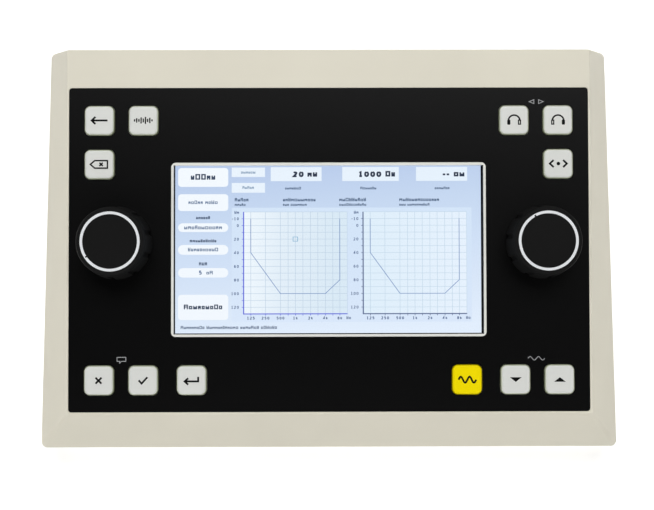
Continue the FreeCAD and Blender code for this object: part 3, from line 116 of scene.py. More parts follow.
# ---- display: places in the picture, in its own dots from the upper left. A bar is given by its left,
# top, right and foot, and a button by its top, foot and corner radius ----
COLUMNS = 800
ROWS = 480
GROUND = (0.6, 0, 799.2, 480)
FIELD = (148, 122, 775, 448)
MENU_LEFT = 8
MENU_RIGHT = 139
BUTTONS = ((8, 62, 9), (83, 131, 9), (166, 191, 12), (228, 256, 13), (294, 321, 13), (370, 442, 9))
BOXES = ((148, 7, 235, 34), (148, 51, 235, 79), (250, 6, 383, 46), (437, 6, 585, 46), (630, 6, 764, 46))
CHART_TOP = 134
CHART_FOOT = 425
CHART_WIDTH = 271
LEFT_AXIS = 179
RIGHT_AXIS = 491
ZERO_LEVEL = 173.0
DOTS_PER_DECIBEL = 1.942
GRID_HALF = 0.6
AXIS_HALF = 1.5
TICK_HALF = 0.8
TICK_REACH = 5
PITCH_PLACES = {125: 18.7, 250: 56.9, 500: 96.0, 750: 116.1, 1000: 135.0, 1500: 154.6,
                2000: 174.5, 3000: 193.7, 4000: 213.3, 6000: 232.7, 8000: 251.0}
PITCH_NAMES = {125: "125", 250: "250", 500: "500", 1000: "1k", 2000: "2k", 4000: "4k", 8000: "8k"}
NAMED_LEVELS = (-10, 0, 20, 40, 60, 80, 100, 120)
LIMIT = ((125, -10), (125, 40), (500, 100), (4000, 100), (8000, 80), (8000, -10))
CURSOR_PITCH = 1000
CURSOR_LEVEL = 20
CURSOR_REACH = 6
CURSOR_STROKE = 1.6
LIMIT_STROKE = 1.8
LEVEL_UNIT_ROW = 136
PITCH_ROW = 437
PITCH_UNIT = 268
SCALE_GAP = 12
SCALE_HEIGHT = 8.4
LEVEL_WEIGHT = 1.4
PITCH_WEIGHT = 1.7
UNIT_HEIGHT = 8
READOUTS = (("20", 337, 346), ("1000", 540, 550), ("--", 718, 729))
READOUT_ROW = 26.5
READOUT_HEIGHT = 16.6
READOUT_WEIGHT = 2.7
READOUT_WIDE = 1.25
READOUT_UNIT_ROW = 27
READOUT_UNIT_HEIGHT = 16
STEP_PLACE = (66, 307)
STEP_HEIGHT = 12
STEP_WEIGHT = 1.8

# ---- display: widths, rises, rungs, strokes and gaps of the words, as parts of their height ----
LETTER_NARROW = 0.4
LETTER_WIDE = 0.7
LETTER_RISES = (0.72, 0.72, 0.78, 1.0)
LETTER_FOOT = 0.4
RUNGS = (0.0, 0.5, 1.0)
WORD_GAP = 0.17
SPACE = 0.5
WORD_STROKE = 0.20
BOLD_STROKE = 0.23
UNIT_STROKE = 0.28

# ---- display: rows of words. For each shade and stroke: x of the middle or left end, y, height,
# letters in each word, alignment ----
WORD_ROWS = (
    ((40, 58, 86), BOLD_STROKE, (
        (73, 35, 16.2, (5,), "CENTER"),
        (73, 406, 13.5, (9,), "CENTER"))),
    ((46, 68, 100), BOLD_STROKE, (
        (73, 151, 8.5, (6,), "CENTER"),
        (73, 217, 8.5, (10,), "CENTER"),
        (73, 283, 8.5, (3,), "CENTER"))),
    ((64, 88, 122), WORD_STROKE, (
        (15, 464, 8.5, (9, 12, 7, 6), "LEFT"),)),
    ((80, 110, 148), WORD_STROKE, (
        (73, 107, 10, (5, 4), "CENTER"),
        (73, 179, 10.5, (11,), "CENTER"),
        (73, 242, 10, (10,), "CENTER"),
        (82, 308, 10, (2,), "LEFT"))),
    ((44, 74, 110), WORD_STROKE, (
        (156, 100, 9.5, (5,), "LEFT"),
        (282, 100, 9.5, (11,), "LEFT"),
        (429, 100, 9.5, (9,), "LEFT"),
        (586, 100, 9.5, (14,), "LEFT"),
        (156, 114, 7.2, (5,), "LEFT"),
        (282, 114, 7.2, (3, 7), "LEFT"),
        (429, 114, 7.2, (12,), "LEFT"),
        (586, 114, 7.2, (3, 10), "LEFT"),
        (308, 67, 7.2, (7,), "CENTER"),
        (505, 67, 7.2, (7,), "CENTER"),
        (698, 67, 7.2, (7,), "CENTER"))),
    ((116, 146, 178), WORD_STROKE, (
        (191, 21, 8, (6,), "CENTER"),
        (191, 65, 8, (5,), "CENTER"))),
)

# ---- textures: where most values of a noise lie; the clouds, smears, pores, ink grains, copper runs and
# cable cores, by the scale of their texture in the piece's own metres ----
NOISE_LOW = 0.3
NOISE_HIGH = 0.7
CLOUDS = 22
SMEARS = 30
PORES = 1800.0
INK_GRAINS = 2500
COPPER_RUNS = 260.0
CABLE_CORES = 250.0

# ---- how far the gloss and the tone stray along a surface ----
PLASTIC_GLOSS = 0.07
METAL_SMOOTHER = 0.08
METAL_ROUGHER = 0.1
METAL_DARKER = 0.93
METAL_LIGHTER = 1.05
INK_THIN = 0.82

# ---- moulded finishes of the record's slots: name, colour, roughness, size and depth of the grain in
# millimetres, mottle, specular level ----
CASE = ("case_plastic_eroded", (0.798, 0.762, 0.642, 1), 0.6, 0.45, 0.02, 0.02, 0.15)
MOULDED = {
    "sheet_black": ("sheet_black_film", (0.0007, 0.0007, 0.0008, 1), 0.31, 0.3, 0.006, 0.10, 0.2),
    "knob_black": ("knob_black_soft", (0.0115, 0.0115, 0.0115, 1), 0.65, 0.3, 0.012, 0.12, 0.03),
    "knob_cap_black": ("knob_cap_film", (0.0058, 0.0058, 0.0058, 1), 0.5, 0.25, 0.01, 0.1, 0.1),
    "lcd_face": ("lcd_face_dark", (0.003, 0.003, 0.004, 1), 0.2, 0.2, 0.001, 0.1, 0.5),
    "component_black": ("component_resin", (0.012, 0.012, 0.013, 1), 0.5, 0.15, 0.01, 0.1, 0.5),
    "foot_rubber": ("foot_rubber_matt", (0.018, 0.018, 0.018, 1), 0.85, 0.3, 0.05, 0.15, 0.3),
    "panel_black": ("panel_black_matt", (0.013, 0.013, 0.014, 1), 0.5, 0.4, 0.02, 0.08, 0.5),
    "jack_black": ("jack_black_resin", (0.010, 0.010, 0.011, 1), 0.35, 0.25, 0.006, 0.08, 0.5),
    "rocker_black": ("rocker_black_gloss", (0.012, 0.012, 0.013, 1), 0.28, 0.4, 0.004, 0.06, 0.5),
}

# ---- key caps: name, colour, painted shade of the rim, specular level; then the roughness, grain and mottle that
# they share, and the cosines between which the rim's painted shade fades out, as the surface turns to face
# out of the panel ----
KEY_CAPS = {
    "key_white": ("key_white_satin", (0.755, 0.765, 0.73, 1), (0.64, 0.70, 0.48, 1), 0.5),
    "key_yellow": ("key_yellow_satin", (0.99, 0.80, 0.0, 1), (0.88, 0.88, 1, 1), 0.06),
}
KEY_SATIN = (0.42, 0.5, 0.006, 0.015)
SHADED_RIM_COSINE = 0.45
FACE_COSINE = 0.97

# ---- tint of the case plastic on the window's lip, and the black painted shade on the walls inside it ----
NO_TINT = (1, 1, 1, 1)
LIP_TINT = (1.06, 1.12, 1.24, 1)
WALL_PAINTED_SHADE = (0.02, 0.02, 0.02, 1)

# ---- metal finishes: name, colour, roughness, stretch of the lines, their width and depth in
# millimetres, metallic (0 on the ring, which is satin plastic) ----
METALS = {
    "ring_white": ("ring_satin", (0.83, 0.85, 0.87, 1), 0.42, (1, 6, 1), 0.5, 0.003, 0.0),
    "sheet_steel": ("sheet_steel_zinc", (0.62, 0.63, 0.64, 1), 0.36, (1, 8, 1), 0.2, 0.002, 1.0),
    "screw_steel": ("screw_zinc", (0.58, 0.59, 0.61, 1), 0.3, (1, 1, 1), 0.2, 0.002, 1.0),
    "nickel": ("nickel_turned", (0.66, 0.63, 0.58, 1), 0.22, (1, 1, 6), 0.2, 0.002, 1.0),
    "encoder_metal": ("encoder_steel", (0.55, 0.56, 0.58, 1), 0.34, (1, 1, 1), 0.2, 0.002, 1.0),
}

# ---- shades that run along a part of the picture, 0 to 255, each with its share of the run; the runs'
# directions, and their lengths in millimetres ----
DOWN = (0.0, -1.0)
RIGHTWARDS = (1.0, 0.0)
PICTURE_WIDTH = 150
PICTURE_HEIGHT = 86
GROUND_SHADES = ((0.0, (182, 201, 234)), (0.3, (198, 216, 241)), (0.55, (208, 224, 246)),
                 (0.75, (216, 230, 248)), (1.0, (226, 238, 253)))
GROUND_RUN = (0.09, -1.0)
GROUND_REACH = 95
FIELD_SHADES = ((0.0, (213, 230, 249)), (0.5, (211, 228, 248)), (1.0, (217, 231, 250)))
FIELD_REACH = 80
BUTTON_SHADES = ((0.0, (243, 249, 255)), (1.0, (241, 247, 254)))
BOX_SHADES = ((0.0, (239, 247, 255)), (0.2, (233, 243, 253)), (1.0, (229, 241, 252)))
LEFT_CHART_SHADES = ((0.22, (240, 248, 254)), (0.36, (226, 238, 248)), (0.55, (217, 233, 245)))
RIGHT_CHART_SHADES = ((0.62, (222, 238, 250)), (1.0, (230, 241, 253)))
WORD_FADE = 0.94

# ---- even shades of the picture, 0 to 255 ----
LEFT_GRID_SHADE = (186, 206, 226)
RIGHT_GRID_SHADE = (190, 212, 230)
LEFT_AXIS_SHADE = (100, 108, 220)
RIGHT_AXIS_SHADE = (84, 100, 142)
NUMBER_SHADE = (46, 56, 76)
STEP_SHADE = (92, 116, 154)
SCALE_SHADE = (78, 100, 142)
LIMIT_SHADE = (112, 142, 192)
CURSOR_SHADE = (116, 172, 206)

# ---- printed marks: their thickness, their strokes, and the places of the three marks on the sheet;
# millimetres ----
INK_THICK = 0.02
LEGEND_STROKE = 0.95
HEADBAND_STROKE = 0.8
TAB_STROKE = 0.75
CUP_STROKE = 0.6
THIN_STROKE = 0.32
CHANNEL_PLACE = (105.1, 74.6)
ANSWER_PLACE = (-104.6, -55.5)
TONE_PLACE = (104.3, -55.2)

# ---- digits: strokes in a cell of 4 by 6, in the cell's own units ----
DIGIT_WIDTH = 4.0
DIGIT_HEIGHT = 6.0
DIGIT_GAP = 1.2
BOLD_GAP = 0.65
DASH_WIDTH = 1.6
STROKES = {
    "0": [[(2, 6), (0.9, 5.4), (0.4, 3.9), (0.4, 2.1), (0.9, 0.6), (2, 0),
           (3.1, 0.6), (3.6, 2.1), (3.6, 3.9), (3.1, 5.4), (2, 6)]],
    "1": [[(0.7, 5.2), (2.1, 6), (2.1, 0)], [(0.6, 0), (3.6, 0)]],
    "2": [[(0.5, 5.2), (1.3, 5.9), (2.5, 5.9), (3.4, 5.1), (3.3, 4), (0.5, 0), (3.7, 0)]],
    "4": [[(2.8, 0), (2.8, 6), (0.3, 1.6), (3.9, 1.6)]],
    "5": [[(3.4, 6), (0.9, 6), (0.8, 3.4), (2.2, 3.7), (3.3, 3.1), (3.6, 1.9), (3.1, 0.6),
           (1.8, 0), (0.5, 0.4)]],
    "6": [[(3.3, 5.6), (2.2, 6), (1, 5.2), (0.5, 3.4), (0.5, 1.9), (1.1, 0.4), (2.1, 0),
           (3.2, 0.5), (3.6, 1.9), (3.1, 3.2), (2.1, 3.6), (1, 3.1), (0.6, 2.2)]],
    "8": [[(2, 6), (0.9, 5.5), (0.7, 4.4), (1.3, 3.4), (2.7, 3.1), (3.5, 2.2), (3.5, 1), (2.8, 0.1),
           (1.2, 0.1), (0.5, 1), (0.5, 2.2), (1.3, 3.1), (2.7, 3.4), (3.3, 4.4), (3.1, 5.5), (2, 6)]],
    "k": [[(0.6, 6), (0.6, 0)], [(3.2, 4), (0.8, 2.1), (3.4, 0)]],
    "-": [[(-0.6, 2.5), (2.2, 2.5)]],
}


# ================================ frame ================================

def panel_matrix():
    """The panel's frame, found from the two knob axes and the front sheet."""
    turns = [joint for joint in frame["joints"] if joint["child"].startswith("knob")]
    feet = sorted((Vector(joint["pos_m"]) for joint in turns), key=lambda place: place.x)
    right = (feet[1] - feet[0]).normalized()
    outward = Vector(turns[0]["axis"]).normalized()
    turn = Matrix((right, outward.cross(right), outward)).transposed().to_4x4()
    low, high = span("front_sheet", turn)
    middle = Vector(((low.x + high.x) / 2, (low.y + high.y) / 2, high.z))
    return turn @ Matrix.Translation(middle)


def span(name, axes):
    """Lowest and highest corner of a node, in the frame of the matrix."""
    back = axes.inverted()
    points = [back @ vertex.co for vertex in frame["nodes"][name].data.vertices]
    low = Vector(min(point[axis] for point in points) for axis in range(3))
    high = Vector(max(point[axis] for point in points) for axis in range(3))
    return low, high


PANEL = panel_matrix()


def on_panel(x, y, z=0.0):
    """The frame at a place on the panel, in millimetres from its middle."""
    return PANEL @ Matrix.Translation(Vector((x, y, z)) * MM)


def on_top_of(name):
    """The frame at the middle of a node's highest face, parallel to the panel."""
    low, high = span(name, PANEL)
    return PANEL @ Matrix.Translation(((low.x + high.x) / 2, (low.y + high.y) / 2, high.z))


# ================================ material helpers ================================

def srgb(red, green, blue):
    """Display values from 0 to 255 as the linear colour of a shader."""
    linear = []
    for value in (red, green, blue):
        part = value / 255
        linear.append(part / 12.92 if part <= 0.04045 else ((part + 0.055) / 1.055) ** 2.4)
    return (*linear, 1.0)


def scaled(colour, factor):
    """The colour made lighter or darker."""
    return (*(min(1.0, part * factor) for part in colour[:3]), 1.0)


def node(tree, kind, inputs=(), **settings):
    """Adds a shader node; an input is a value or another node's output."""
    made = tree.nodes.new("ShaderNode" + kind)
    for name, value in settings.items():
        setattr(made, name, value)
    for name, value in dict(inputs).items():
        if isinstance(value, bpy.types.NodeSocket):
            tree.links.new(value, made.inputs[name])
        else:
            made.inputs[name].default_value = value
    return made


def new_finish(name, **constants):
    """A material with one Principled shader; constants set its own sockets."""
    made = bpy.data.materials.new(name)
    made.use_nodes = True
    shader = made.node_tree.nodes["Principled BSDF"]
    for socket, value in constants.items():
        shader.inputs[socket.replace("_", " ")].default_value = value
    return made, made.node_tree, shader


def coordinates(tree, stretch=(1, 1, 1)):
    """The piece's own coordinates in metres, stretched along its axes."""
    place = node(tree, "TexCoord").outputs["Object"]
    return node(tree, "Mapping", {"Vector": place, "Scale": stretch}).outputs["Vector"]


def noise(tree, grains, detail=2.0, stretch=(1, 1, 1)):
    """Cloudy values between 0 and 1 with so many grains to the metre."""
    place = coordinates(tree, stretch)
    made = node(tree, "TexNoise", {"Vector": place, "Scale": grains, "Detail": detail})
    return made.outputs["Fac"]


def ramp(tree, factor, *stops):
    """A colour that changes along the factor; each stop is (place, colour)."""
    made = node(tree, "ValToRGB", {"Fac": factor})
    elements = made.color_ramp.elements
    while len(elements) < len(stops):
        elements.new(0.5)
    for element, (place, colour) in zip(elements, stops):
        element.position = place
        element.color = colour
    return made.outputs["Color"]


def mapped(tree, value, low, high, start=0.0, end=1.0):
    """The value, from start to end, brought between low and high."""
    made = node(tree, "MapRange", {"Value": value, "From Min": start, "From Max": end,
                                   "To Min": low, "To Max": high})
    return made.outputs["Result"]


def relief(tree, shader, height, depth_mm):
    """Gives the surface a fine relief of that depth."""
    made = node(tree, "Bump", {"Height": height, "Distance": depth_mm * MM, "Strength": 1.0})
    tree.links.new(made.outputs["Normal"], shader.inputs["Normal"])


# ================================ finishes ================================

def moulded(name, colour, roughness, grain_mm, depth_mm, mottle, specular):
    """Moulded plastic: eroded grain, faint flow clouds and slightly uneven gloss."""
    made, tree, shader = new_finish(name, Specular_IOR_Level=specular)
    darker, lighter = scaled(colour, 1 - mottle), scaled(colour, 1 + mottle)
    shades = ramp(tree, noise(tree, CLOUDS, 3.0), (NOISE_LOW, darker), (NOISE_HIGH, lighter))
    tree.links.new(shades, shader.inputs["Base Color"])
    grain = noise(tree, 1 / (grain_mm * MM))
    gloss = mapped(tree, grain, roughness - PLASTIC_GLOSS, roughness + PLASTIC_GLOSS)
    tree.links.new(gloss, shader.inputs["Roughness"])
    relief(tree, shader, grain, depth_mm)
    return made


def tint(made, factor, *stops):
    """Multiplies a finish's colour by a tint that follows the factor."""
    tree = made.node_tree
    shader = tree.nodes["Principled BSDF"]
    before = shader.inputs["Base Color"].links[0].from_socket
    product = node(tree, "VectorMath", {0: before, 1: ramp(tree, factor, *stops)}, operation="MULTIPLY")
    tree.links.new(product.outputs["Vector"], shader.inputs["Base Color"])
    return made


def along(tree, socket, axis, start=0.0):
    """The place, or the normal, measured along a direction of the frame."""
    run = node(tree, "VectorMath", {0: node(tree, "TexCoord").outputs[socket], 1: axis},
               operation="DOT_PRODUCT")
    return node(tree, "Math", {0: run.outputs["Value"], 1: start}, operation="SUBTRACT").outputs["Value"]


def outside(tree, low, high, blur_mm):
    """0 inside a box that is square to the panel, rising to 1 beyond its sides; millimetres."""
    beyond = 0.0
    for axis, near, far in zip(PANEL.col, low, high):
        direction = axis.xyz
        centre = direction.dot(PANEL.translation) + (near + far) / 2 * MM
        offset = node(tree, "Math", {0: along(tree, "Object", direction, centre)}, operation="ABSOLUTE")
        half = (far - near) / 2
        reach = mapped(tree, offset.outputs["Value"], 0.0, 1.0, half * MM, (half + blur_mm) * MM)
        beyond = node(tree, "Math", {0: reach, 1: beyond}, operation="MAXIMUM").outputs["Value"]
    return beyond


def window_box():
    """The box of the painted shade on the window's walls: it holds all of them but the rear one, whose skin
    lies just beyond it.
    """
    low, high = span("lcd_panel", PANEL)
    left = low.x / MM + WINDOW_SIDE_INSET - WALL_SHADE_SKIN
    right = high.x / MM - WINDOW_SIDE_INSET + WALL_SHADE_SKIN
    front = low.y / MM + WINDOW_END_INSET - WALL_SHADE_SKIN
    rear = high.y / MM - WINDOW_END_INSET - WALL_SHADE_SKIN
    return (left, front, LIP_BOX[0][2]), (right, rear, LIP_BOX[1][2])


def case():
    """Cream case plastic, whiter on the lip round the window, with black painted shade on the walls inside
    it.
    """
    made = moulded(*CASE)
    tint(made, outside(made.node_tree, *LIP_BOX, LIP_EDGE), (0.0, LIP_TINT), (1.0, NO_TINT))
    # painted shade: the cream walls inside the window are tinted black
    return tint(made, outside(made.node_tree, *window_box(), WALL_SHADE_EDGE), (0.0, WALL_PAINTED_SHADE), (1.0, NO_TINT))


def key_cap(name, colour, rim_shade, specular):
    """Satin key plastic with painted shade on its rounded rim, darker where the surface turns from facing
    out of the panel.
    """
    made = moulded(name, colour, *KEY_SATIN, specular)
    facing = along(made.node_tree, "Normal", PANEL.col[2].xyz)
    # painted shade: the rim is tinted darker as its surface turns away from facing out of the panel
    return tint(made, facing, (SHADED_RIM_COSINE, rim_shade), (FACE_COSINE, NO_TINT))


def metal(name, colour, roughness, stretch, lines_mm, depth_mm, metallic):
    """Metal, or satin plastic, with fine lines or grain that follow its working."""
    made, tree, shader = new_finish(name, Metallic=metallic)
    lines = noise(tree, 1 / (lines_mm * MM), 3.0, stretch)
    shades = ramp(tree, lines, (NOISE_LOW, scaled(colour, METAL_DARKER)),
                  (NOISE_HIGH, scaled(colour, METAL_LIGHTER)))
    tree.links.new(shades, shader.inputs["Base Color"])
    gloss = mapped(tree, lines, roughness - METAL_SMOOTHER, roughness + METAL_ROUGHER)
    tree.links.new(gloss, shader.inputs["Roughness"])
    relief(tree, shader, lines, depth_mm)
    return made


def touch_glass(name):
    """Clear cover glass with faint finger smears that show only in its gloss."""
    made, tree, shader = new_finish(name, Base_Color=srgb(20, 22, 26), Alpha=0.06, IOR=1.5)
    smears = noise(tree, SMEARS, 4.0, (1, 1.6, 1))
    tree.links.new(mapped(tree, smears, 0.04, 0.16, 0.4, 0.7), shader.inputs["Roughness"])
    return made


def foam(name):
    """Closed-cell foam: small dark pores."""
    made, tree, shader = new_finish(name, Roughness=0.95)
    place = coordinates(tree)
    pores = node(tree, "TexVoronoi", {"Vector": place, "Scale": PORES}).outputs["Distance"]
    tree.links.new(ramp(tree, pores, (0.0, srgb(12, 12, 13)), (0.7, srgb(44, 44, 46))),
                   shader.inputs["Base Color"])
    relief(tree, shader, pores, 0.15)
    return made


def circuit_board(name):
    """Green solder mask over lighter copper runs."""
    made, tree, shader = new_finish(name, Roughness=0.38)
    place = coordinates(tree)
    runs = node(tree, "TexBrick", {"Vector": place, "Scale": COPPER_RUNS, "Mortar Size": 0.03,
                                   "Color1": srgb(14, 74, 44), "Color2": srgb(18, 86, 50),
                                   "Mortar": srgb(46, 124, 72)})
    tree.links.new(runs.outputs["Color"], shader.inputs["Base Color"])
    relief(tree, shader, runs.outputs["Fac"], 0.03)
    return made


def flat_cable(name):
    """Grey flat cable with a fine rib for each core."""
    made, tree, shader = new_finish(name, Roughness=0.45)
    place = coordinates(tree)
    cores = node(tree, "TexWave", {"Vector": place, "Scale": CABLE_CORES}).outputs["Fac"]
    tree.links.new(ramp(tree, cores, (0.1, srgb(120, 122, 126)), (0.6, srgb(176, 178, 180))),
                   shader.inputs["Base Color"])
    relief(tree, shader, cores, 0.1)
    return made


def ink(name, colour, roughness=0.45, specular=0.5):
    """Screen-printed ink: slightly uneven cover."""
    made, tree, shader = new_finish(name, Roughness=roughness, Specular_IOR_Level=specular)
    cover = noise(tree, INK_GRAINS)
    tree.links.new(ramp(tree, cover, (0.25, scaled(colour, INK_THIN)), (NOISE_HIGH, colour)),
                   shader.inputs["Base Color"])
    return made


def mapped_grey(tree, value, low, high):
    """The value brought between low and high, as a grey."""
    level = mapped(tree, value, low, high)
    return node(tree, "CombineXYZ", {"X": level, "Y": level, "Z": level}).outputs["Vector"]


def lit(name, *stops, direction=DOWN, reach_mm=PICTURE_HEIGHT):
    """A lit part of the picture: a shade that changes in one direction, over the display's dots."""
    made, tree, shader = new_finish(name, Base_Color=(0, 0, 0, 1), Roughness=0.6,
                                    Specular_IOR_Level=0.1, Emission_Strength=PICTURE_GLOW)
    place = node(tree, "TexCoord").outputs["Object"]
    run = node(tree, "VectorMath", {0: place, 1: (*direction, 0.0)}, operation="DOT_PRODUCT")
    shade = ramp(tree, mapped(tree, run.outputs["Value"], 0.0, 1.0, 0.0, reach_mm * MM), *stops)
    dots = node(tree, "TexWave", {"Vector": place, "Scale": DOT_SCALE}).outputs["Fac"]
    light = node(tree, "VectorMath", {0: shade, 1: mapped_grey(tree, dots, 1 - DOT_CONTRAST, 1.0)},
                 operation="MULTIPLY")
    tree.links.new(light.outputs["Vector"], shader.inputs["Emission Color"])
    return made


def plain(name, shade):
    """A lit part of one shade."""
    return lit(name, (0.0, srgb(*shade)), (1.0, srgb(*shade)))


def linear(shades):
    """A run of shades as the stops of a ramp."""
    return [(place, srgb(*shade)) for place, shade in shades]


def solid_finishes():
    """One finish for each of the record's material slots."""
    finishes = {slot: moulded(*values) for slot, values in MOULDED.items()}
    finishes.update({slot: metal(*values) for slot, values in METALS.items()})
    finishes.update({slot: key_cap(*values) for slot, values in KEY_CAPS.items()})
    finishes["case_plastic"] = case()
    finishes["touch_glass"] = touch_glass("touch_glass_clear")
    finishes["foam"] = foam("foam_cells")
    finishes["circuit_board"] = circuit_board("circuit_board_green")
    finishes["flat_cable"] = flat_cable("flat_cable_grey")
    return finishes


def paint_solids():
    """Gives every solid the finish of its slot."""
    finishes = solid_finishes()
    for part in frame["nodes"].values():
        for place in part.material_slots:
            place.material = finishes[place.name]


# ================================ flat prints ================================

def arc(centre, radius, start, end, steps=12):
    """Points on an arc, angles in degrees from +x towards +y."""
    angles = (math.radians(start + (end - start) * step / steps) for step in range(steps + 1))
    return [(centre[0] + radius * math.cos(angle), centre[1] + radius * math.sin(angle))
            for angle in angles]


class Print:
    """Flat shapes collected in one plane, which then become one thin piece."""

    def __init__(self, name, place, scale=(MM, MM)):
        self.name = name
        self.place = place
        self.scale = scale
        self.mesh = bmesh.new()

    def polygon(self, points):
        """A filled outline."""
        corners = [self.mesh.verts.new((x * self.scale[0], y * self.scale[1], 0)) for x, y in points]
        self.mesh.faces.new(corners)

    def bar(self, left, low, right, high, corner=0.0):
        """A rectangle, with round corners if a corner radius is given."""
        if not corner:
            self.polygon([(left, low), (right, low), (right, high), (left, high)])
            return
        middles = ((right - corner, high - corner), (left + corner, high - corner),
                   (left + corner, low + corner), (right - corner, low + corner))
        outline = []
        for quarter, middle in enumerate(middles):
            outline += arc(middle, corner, quarter * 90, quarter * 90 + 90, 6)
        self.polygon(outline)

    def line(self, points, width, closed=False):
        """A strip of even width along the points, with mitred corners."""
        path = [Vector(point) for point in points]
        runs = len(path) if closed else len(path) - 1
        across = []
        for index in range(runs):
            forward = (path[(index + 1) % len(path)] - path[index]).normalized()
            across.append(Vector((-forward.y, forward.x)))
        edges = []
        for index, point in enumerate(path):
            before = across[index - 1] if closed or index else across[0]
            after = across[index] if index < runs else across[-1]
            mitre = (before + after).normalized()
            reach = mitre * (width / 2 / mitre.dot(before))
            edges.append((point - reach, point + reach))
        for index in range(runs):
            near, far = edges[index], edges[(index + 1) % len(path)]
            self.polygon([near[0], far[0], far[1], near[1]])

    def disc(self, centre, radius):
        """A filled circle."""
        self.polygon(arc(centre, radius, 0, 360, 24)[:-1])

    def digits(self, text, x, y, height, weight, align="CENTER", wide=1.0, gap=DIGIT_GAP):
        """Plain digits; x is their middle, left or right end, and y their middle height."""
        unit = height / (DIGIT_HEIGHT + weight)
        up = math.copysign(unit, self.scale[1])
        widths = [(DASH_WIDTH if sign == "-" else DIGIT_WIDTH) * wide + weight for sign in text]
        whole = (sum(widths) + gap * (len(text) - 1)) * unit
        start = {"CENTER": x - whole / 2, "LEFT": x, "RIGHT": x - whole}[align] + weight / 2 * unit
        foot = y - DIGIT_HEIGHT / 2 * up
        for sign, width in zip(text, widths):
            for stroke in STROKES[sign]:
                self.line([(start + across * wide * unit, foot + rise * up) for across, rise in stroke],
                          weight * unit)
            start += (width + gap) * unit

    def make(self, finish, body, slot, thick=INK_THICK):
        """The finished piece, riding on its body."""
        self.mesh.normal_update()
        for face in self.mesh.faces:
            if face.normal.z < 0:
                face.normal_flip()
        bmesh.ops.solidify(self.mesh, geom=self.mesh.faces[:], thickness=-thick * MM)
        data = bpy.data.meshes.new(self.name)
        self.mesh.to_mesh(data)
        self.mesh.free()
        data.materials.append(finish)
        piece = bpy.data.objects.new(self.name, data)
        piece.matrix_world = self.place
        bpy.context.scene.collection.objects.link(piece)
        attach(piece, body)
        return piece


# ================================ display ================================

def picture_scale():
    """Metres per dot, to the right and upwards, so that a dot down is negative."""
    low, high = span("lcd_panel", PANEL)
    width = high.x - low.x - (PICTURE_LEFT + PICTURE_RIGHT) * MM
    height = high.y - low.y - (PICTURE_TOP + PICTURE_BOTTOM) * MM
    return width / COLUMNS, -height / ROWS


class Picture(Print):
    """One shade of the picture, a number of layers above the display's dark face."""

    def __init__(self, name, layer):
        low, high = span("lcd_panel", PANEL)
        corner = Vector((low.x + PICTURE_LEFT * MM, high.y - PICTURE_TOP * MM, high.z + layer * LAYER * MM))
        super().__init__("picture_" + name, PANEL @ Matrix.Translation(corner), picture_scale())

    def words(self, x, y, height, lengths, seed, align="CENTER", weight=WORD_STROKE):
        """A row of small open blocks that stands for words of so many letters."""
        choose = random.Random(seed)
        blocks = []
        end = 0.0
        for length in lengths:
            for _ in range(length):
                width = height * (choose.uniform(LETTER_NARROW, LETTER_WIDE) + weight / 2)
                blocks.append((end, width, height * choose.choice(LETTER_RISES)))
                end += width + height * WORD_GAP
            end += height * SPACE
        whole = blocks[-1][0] + blocks[-1][1]
        start = {"CENTER": x - whole / 2, "LEFT": x, "RIGHT": x - whole}[align]
        foot = y + height * LETTER_FOOT
        stroke = height * weight
        for place, width, rise in blocks:
            left = start + place
            right = left + width
            self.bar(left, foot - rise, left + stroke, foot)
            self.bar(right - stroke, foot - rise, right, foot)
            for level in choose.sample(RUNGS, 2):
                rung = foot - level * (rise - stroke)
                self.bar(left + stroke, rung - stroke, right - stroke, rung)

    def finish(self, finish):
        """The layer as a piece of the display."""
        return self.make(finish, "housing", "lcd_face", LAYER_THICK)


def level_place(decibels):
    """The place of a loudness down the charts."""
    return ZERO_LEVEL + DOTS_PER_DECIBEL * decibels


def picture_ground():
    """The picture's pale blue ground, and the paler field behind both charts."""
    ground = Picture("ground", 1)
    ground.bar(*GROUND)
    ground.finish(lit("picture_ground", *linear(GROUND_SHADES), direction=GROUND_RUN,
                      reach_mm=GROUND_REACH))
    field = Picture("field", 2)
    field.bar(*FIELD)
    field.finish(lit("picture_field", *linear(FIELD_SHADES), reach_mm=FIELD_REACH))


def menu():
    """The column of buttons on the left and the boxes along the top."""
    buttons = Picture("buttons", 2)
    for top, foot, corner in BUTTONS:
        buttons.bar(MENU_LEFT, top, MENU_RIGHT, foot, corner)
    buttons.finish(lit("picture_button", *linear(BUTTON_SHADES)))
    boxes = Picture("boxes", 2)
    for box in BOXES:
        boxes.bar(*box)
    boxes.finish(lit("picture_box", *linear(BOX_SHADES), direction=RIGHTWARDS, reach_mm=PICTURE_WIDTH))


def captions():
    """Rows of blocks where the maker's program has its words."""
    for index, (shade, weight, rows) in enumerate(WORD_ROWS):
        layer = Picture("words_%d" % index, 3)
        for x, y, height, lengths, align in rows:
            layer.words(x, y, height, lengths, x + y, align, weight)
        colour = srgb(*shade)
        layer.finish(lit("picture_words_%d" % index, (0.0, colour), (1.0, scaled(colour, WORD_FADE))))


def readouts():
    """The bold numbers in the three boxes at the top."""
    numbers = Picture("readouts", 3)
    for number, x, units in READOUTS:
        numbers.digits(number, x, READOUT_ROW, READOUT_HEIGHT, READOUT_WEIGHT, "RIGHT", READOUT_WIDE,
                       BOLD_GAP)
        numbers.words(units, READOUT_UNIT_ROW, READOUT_UNIT_HEIGHT, (2,), units, "LEFT", UNIT_STROKE)
    numbers.finish(plain("picture_number", NUMBER_SHADE))
    step = Picture("step", 3)
    step.digits("5", *STEP_PLACE, STEP_HEIGHT, STEP_WEIGHT)
    step.finish(plain("picture_step", STEP_SHADE))


def chart(side, axis, field_shades, grid_shade, axis_shade):
    """An audiogram chart: loudness down, pitch across, and the line of the unit's limits."""
    chart_field(side, axis, field_shades)
    chart_grid(side, axis, grid_shade)
    chart_axes(side, axis, axis_shade)
    chart_numbers(side, axis)
    chart_limit(side, axis)


